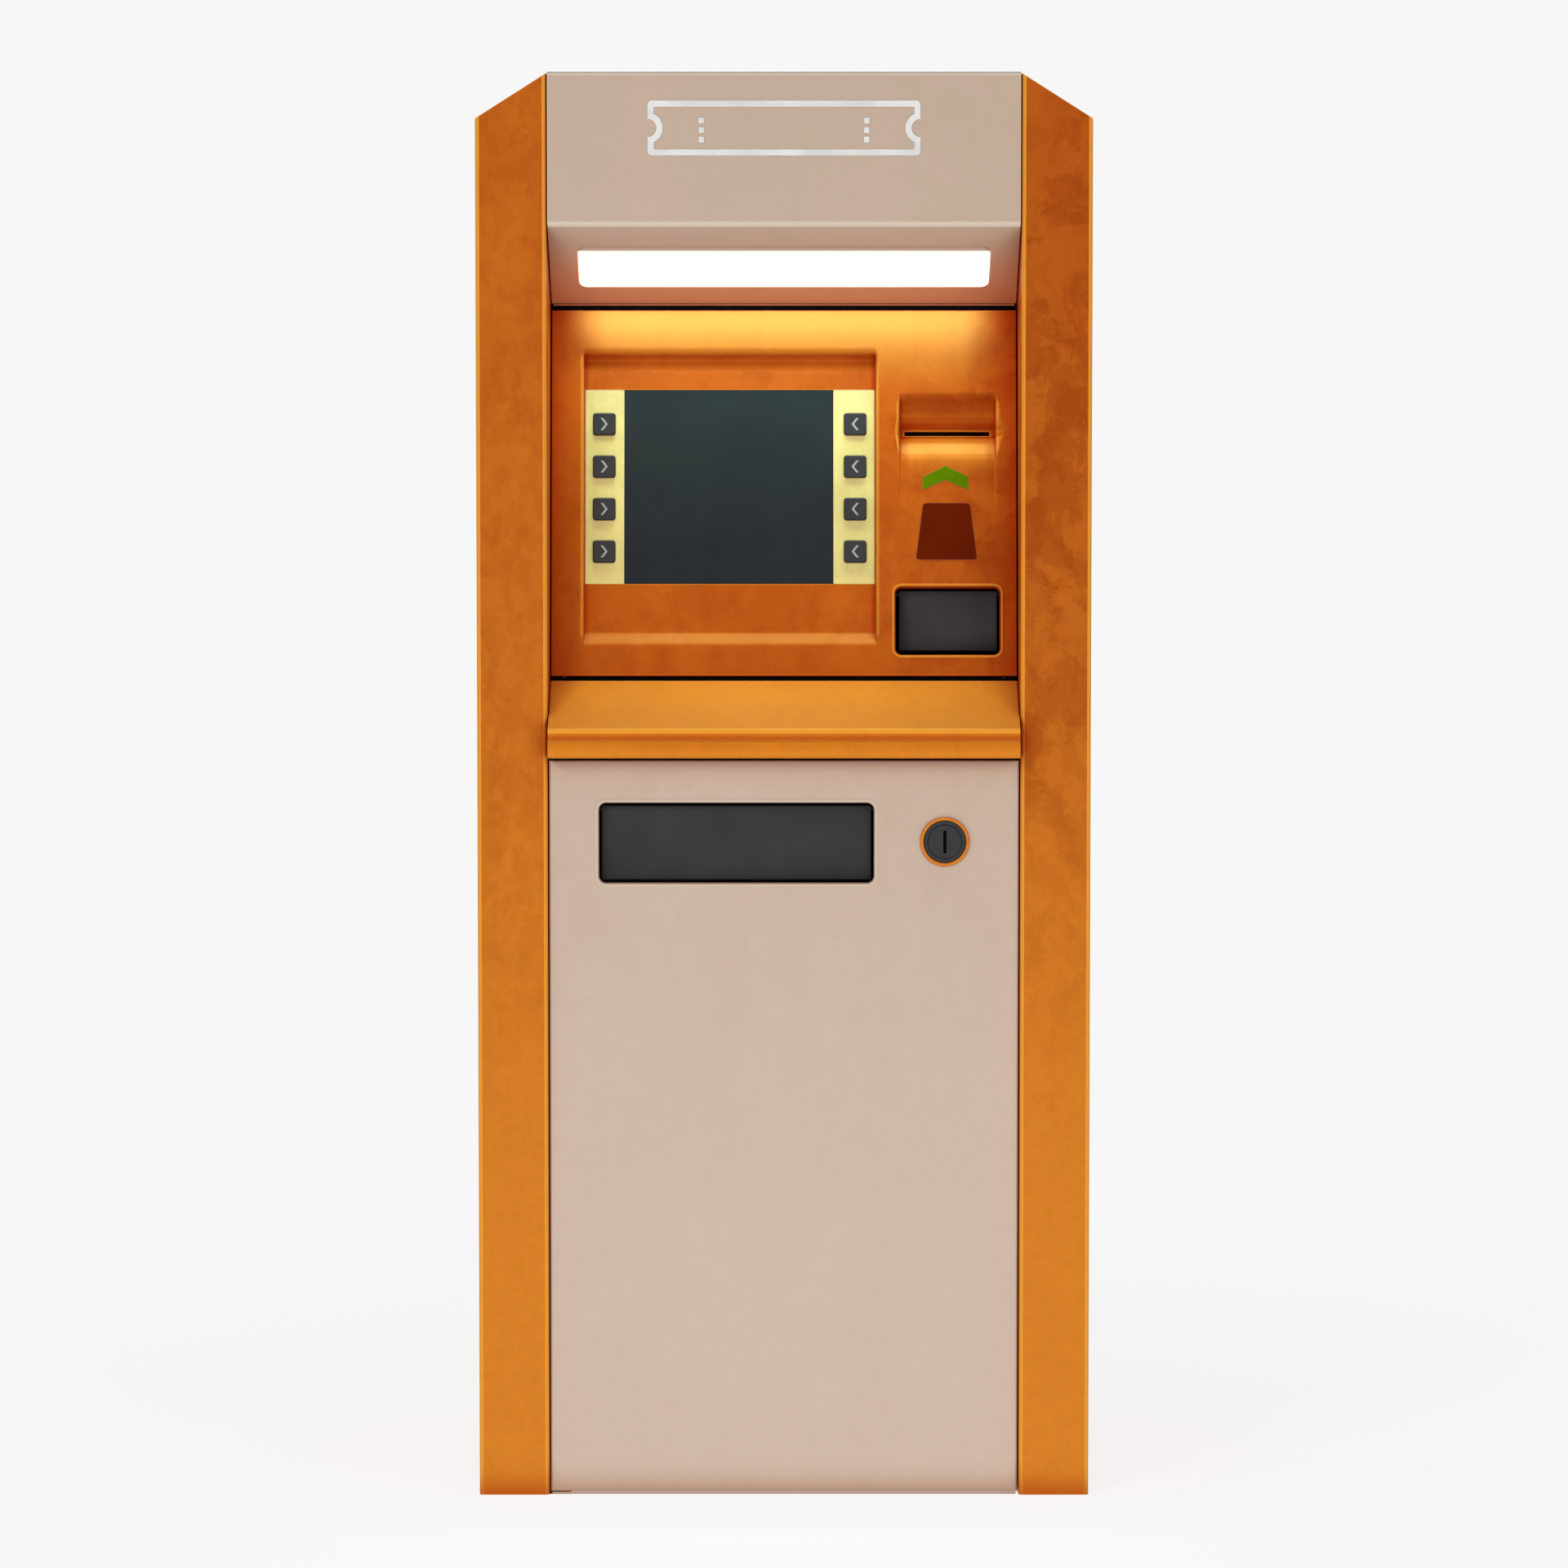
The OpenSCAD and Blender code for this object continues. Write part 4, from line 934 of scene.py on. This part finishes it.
def make_shelf():
    """The folded shelf with its rolled lip and closed ends."""
    profile = shelf_profile()
    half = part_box("shelf")[1].x / MM
    columns = ticks((-half, -half + 2, 1), (-half + 2, half - 2, 24), (half - 2, half, 1))
    points, relief_light = [], []
    for x in columns:
        inset = 0.5 * max(0.0, 1 - (half - abs(x)))
        points += [(x, y + inset, z - inset * (y > fascia_y - 90)) for y, z, _ in profile]
        relief_light += [r for _, _, r in profile]
    n = len(profile)
    faces = [
        (i * n + k, i * n + k + 1, (i + 1) * n + k + 1, (i + 1) * n + k)
        for i in range(len(columns) - 1) for k in range(n - 1)
    ]
    lip_part = [k for k, (y, _, _) in enumerate(profile) if y <= front_y + 2]
    last = (len(columns) - 1) * n
    faces += [tuple(reversed(lip_part)), tuple(last + k for k in lip_part)]
    piece("shelf_skin", points, faces, "orange_paint", "cabinet", ["shelf"], solid=2.2, look="shelf_paint",
          relief_light=relief_light)


# ---------- flaps, brush and seals ----------

def joined(*parts):
    """Several (points, faces) as one."""
    points, faces = [], []
    for more_points, more_faces in parts:
        start = len(points)
        points += more_points
        faces += [tuple(start + k for k in face) for face in more_faces]
    return points, faces


def bar(low, high, radius, axis=0):
    """A bar between two corners, rounded across its length, which lies along an axis."""
    low, high = np.array(low, float), np.array(high, float)
    across = [a for a in range(3) if a != axis]
    middle, half = (low + high) / 2, (high - low) / 2
    loops = []
    for end, inset in ((low[axis], 0.4), (low[axis] + 0.4, 0), (high[axis] - 0.4, 0), (high[axis], 0.4)):
        loop = []
        for p, q in rounded_loop(half[across[0]] - inset * radius, half[across[1]] - inset * radius,
                                 radius * (1 - inset), corner=4):
            point = [0.0, 0.0, 0.0]
            point[axis] = end
            point[across[0]], point[across[1]] = middle[across[0]] + p, middle[across[1]] + q
            loop.append(tuple(point))
        loops.append(loop)
    return loft(loops)


def rod(start, end, y, z, radius):
    """A rod along X."""
    sides = 24
    turn = [2 * math.pi * k / sides for k in range(sides)]
    return loft([[(x, y + r * math.cos(a), z + r * math.sin(a)) for a in turn]
                 for x, r in ((start, radius - 0.4), (start + 0.4, radius), (end - 0.4, radius),
                              (end, radius - 0.4))])


def make_flap(node):
    """A flap that stands flush with the front of its barrel."""
    lo, hi = (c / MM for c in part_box(node))
    middle, half = (lo + hi) / 2, (hi - lo) / 2
    profile = [(0, 3), (0, 0.8), (0.25, 0.25), (0.8, 0)]
    panel = loft([
        [(middle.x + u, lo.y + d, middle.z + w)
         for u, w in rounded_loop(half.x - inset, half.z - inset, 2.2 - inset)]
        for inset, d in profile
    ])
    barrel = rod(lo.x + 0.3, hi.x - 0.3, lo.y + 4, hi.z - 4, 3.6)
    points, faces = joined(panel, barrel)
    piece(f"{node}_panel", points, faces, "dark_plastic", node, [node])


def make_seals():
    """Brushes in the ticket slot, rubber behind the front's seams, the header's hem and a door sill. The brushes
    and the rubber take a near-black look that stands for the shade in the slot and the seams: painted shade.
    """
    u, w = SLOT_MIDDLE
    brush_half = 48.1
    points, faces = joined(*(
        bar((u - brush_half, 23.4, w + low), (u + brush_half, 25.4, w + high), 0.4)
        for low, high in ((0.1, 2.1), (-2.1, -0.1))
    ))
    piece("slot_brush", from_fascia(points), faces, "rubber", "cabinet", look="painted_shade_black")
    half = 262
    fascia_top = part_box("fascia")[1].z / MM
    shelf_low, shelf_top = (c.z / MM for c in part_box("shelf"))
    door_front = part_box("service_door")[0].y / MM
    strips = {
        "header_seal": ((-half, -121, fascia_top - 0.8), (half, -116, fascia_top + 14)),
        "shelf_seal": ((-half, fascia_y + 1.6, shelf_top - 14), (half, fascia_y + 4.6, shelf_top + 3.5)),
        "door_head_seal": (
            (-238, door_front + 5, shelf_low - 2.8), (half, door_front + 20, shelf_low - 0.1)),
    }
    piece("header_hem", *bar((-half, -122.4, fascia_top + 5), (half, -120.4, fascia_top + 7.6), 0.8),
          "beige_paint", "cabinet", look="hem_coating")
    piece("door_sill", *bar((-half, door_front + 0.1, 0.2), (half, door_front + 2.7, 2.5), 0.6),
          "beige_paint", "cabinet")
    for name, (low, high) in strips.items():
        piece(name, *bar(low, high, 1), "rubber", "cabinet", look="painted_shade_black")


# ---------- lock slot, rear louvres and equipment details ----------

def make_key_slot():
    """The keyway let into the lock's plug, which turns with it, as a near-black bar that stands for the shade
    inside it: painted shade.
    """
    lo, hi = (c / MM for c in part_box("lock_plug"))
    x, z = (lo.x + hi.x) / 2, (lo.z + hi.z) / 2
    piece("keyway_shade", *bar((x - 1.6, lo.y + 1.1, z - 12.4), (x + 1.6, lo.y + 7.9, z + 12.4), 0.2),
          "lock_metal", "lock", look="painted_shade_black")


def louvre(start, end, bottom, top, face):
    """A pressed louvre over a slot: a hood that stands out from the panel and is open below."""
    hood = [(0.02, top + 3.2), (0.9, top + 2.7), (1.7, top + 1.6), (2.2, top), (2.4, top - 2),
            (2.4, bottom + 1.2)]
    stations = [(start - 3, 0.03), (start - 1.4, 0.6), (start, 1),
                (end, 1), (end + 1.4, 0.6), (end + 3, 0.03)]
    points = []
    for x, out in stations:
        points += [(x, face + 0.02 + out * (y - 0.02), z) for y, z in hood]
    n = len(hood)
    faces = [(i * n + k, (i + 1) * n + k, (i + 1) * n + k + 1, i * n + k + 1)
             for i in range(len(stations) - 1) for k in range(n - 1)]
    return points, [tuple(reversed(face)) for face in faces]


def make_louvres():
    """Hoods over the rear panel's lower vents and the fan's."""
    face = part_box("rear_panel")[1].y / MM
    fan_lo, fan_hi = (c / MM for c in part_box("fan_frame"))
    fan_z = (fan_lo.z + fan_hi.z) / 2
    length, height, low_z, pitch = 120, 7, 130, 16
    low = [louvre(x, x + length, z, z + height, face)
           for z in range(low_z, low_z + 7 * pitch, pitch) for x in (-130, 10)]
    fan = [louvre(-50, 50, fan_z + 15 * i - height / 2, fan_z + 15 * i + height / 2, face)
           for i in range(-3, 4)]
    for name, hoods in (("lower_louvres", low), ("fan_louvres", fan)):
        piece(name, *joined(*hoods), "beige_paint", "cabinet", solid=-0.7)


def make_equipment_details():
    """Breakers with their toggles on the terminal box, and near-black bars on the power supply that stand for the
    shade in its vent slots: painted shade.
    """
    lo, hi = (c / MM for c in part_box("terminal_box"))
    lefts = [lo.x + 22 + 20 * i for i in range(4)]
    breakers = [bar((x, lo.y - 7, lo.z + 18), (x + 18.4, lo.y + 0.5, hi.z - 12), 1.5) for x in lefts]
    toggles = [bar((x + 5, lo.y - 14, lo.z + 36), (x + 13, lo.y - 6, lo.z + 43), 1.5) for x in lefts]
    piece("breakers", *joined(*breakers), "grey_plastic", "cabinet", look="breaker_shell")
    piece("breaker_toggles", *joined(*toggles), "dark_plastic", "cabinet")
    lo, hi = (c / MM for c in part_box("power_supply"))
    front = lo.y + 20
    vent_shades = [bar((x, front - 0.3, lo.z + 18), (x + 5, front + 0.4, hi.z - 18), 0.3)
             for x in [lo.x + 45 + 12 * i for i in range(9)]]
    vent_shades += [bar((x, front + 20, hi.z - 0.4), (x + 5, hi.y - 20, hi.z + 0.3), 0.3, axis=1)
              for x in [lo.x + 14 + 12 * i for i in range(12)]]
    piece("supply_vent_shades", *joined(*vent_shades), "equipment_case", "cabinet", look="painted_shade_black")


# ---------- carried-over CAD nodes ----------

# The usual bevel width, and the nodes that differ from it.
USUAL_EDGE = 0.6
EDGE = {
    "left_cheek": 1.6, "right_cheek": 1.6, "header_cover": 1.8, "top_panel": 1.0, "rear_panel": 0.8,
    "header_pictogram": 0.2, "card_label": 0.15, "insert_arrow": 0.15, "display_glass": 0.3,
    "key_strips": 0.3, "lock_ring": 1.2, "led_board": 0.2, "door_gasket": 1.0, "fan_rotor": 0.4,
}
# Nodes whose look is darker than their record slot's usual one.
LOOK_OF = dict.fromkeys(("receipt_flap_pin", "ticket_flap_pin", "door_hinges"), "black_steel")
# Slots whose bevels take a paler look of their own: a painted highlight along rounded edges.
EDGE_HIGHLIGHT_LOOK = {"orange_paint": "orange_edge_highlight", "beige_paint": "beige_edge_highlight"}


def mark_bends(mesh):
    """Marks the narrow faces of rounded edges, so that the paint lays a painted highlight there."""
    narrow, slight, steep = 0.003, 0.02, 0.6
    copy = bmesh.new()
    copy.from_mesh(mesh)
    number = copy.faces.layers.int.new("number")
    for face in copy.faces:
        face[number] = face.index
    bmesh.ops.remove_doubles(copy, verts=copy.verts, dist=1e-6)
    bent = np.zeros(len(mesh.polygons), np.float32)
    for face in copy.faces:
        longest = max(edge.calc_length() for edge in face.edges)
        turns = [e.calc_face_angle_signed(0.0) for e in face.edges if len(e.link_faces) == 2]
        if 2 * face.calc_area() / longest < narrow and any(slight < t < steep for t in turns):
            bent[face[number]] = 1
    copy.free()
    mesh.attributes.new("relief_light", "FLOAT", "FACE").data.foreach_set("value", bent)


def dress_node(name):
    """Gives a CAD node its material, rounded edges and smooth shading, and leaves its mesh alone."""
    made = nodes[name]
    mesh = made.data
    if "custom_normal" in mesh.attributes:
        mesh.attributes.remove(mesh.attributes["custom_normal"])
    mesh.materials.clear()
    mesh.materials.append(looks[LOOK_OF.get(name, slot_of[name])])
    # Painted highlight: bevels and rounded bends take the paler copy of the paint.
    highlight_edges = slot_of[name] in EDGE_HIGHLIGHT_LOOK and not made.hide_render
    if highlight_edges:
        mesh.materials.append(looks[EDGE_HIGHLIGHT_LOOK[slot_of[name]]])
        mark_bends(mesh)
    mesh.polygons.foreach_set("use_smooth", [True] * len(mesh.polygons))
    if made.hide_render:
        return
    weld = made.modifiers.new("weld", "WELD")
    weld.merge_threshold = 1e-6
    if name == "wiring_loom":
        return
    flat = made.modifiers.new("flat", "DECIMATE")
    flat.decimate_type = "DISSOLVE"
    flat.angle_limit = math.radians(0.5)
    rounded = bevelled(made, EDGE.get(name, USUAL_EDGE))
    if highlight_edges:
        rounded.material = 1


make_camera()
make_studio()
looks = make_looks()
make_floor()
make_fascia()
make_slot_bezel()
make_lens()
for joint in frame["joints"]:
    if joint["name"].startswith("press_key"):
        make_key(joint)
make_door()
make_shelf()
make_flap("receipt_flap")
make_flap("ticket_flap")
make_seals()
make_key_slot()
make_louvres()
make_equipment_details()
for name in nodes:
    dress_node(name)
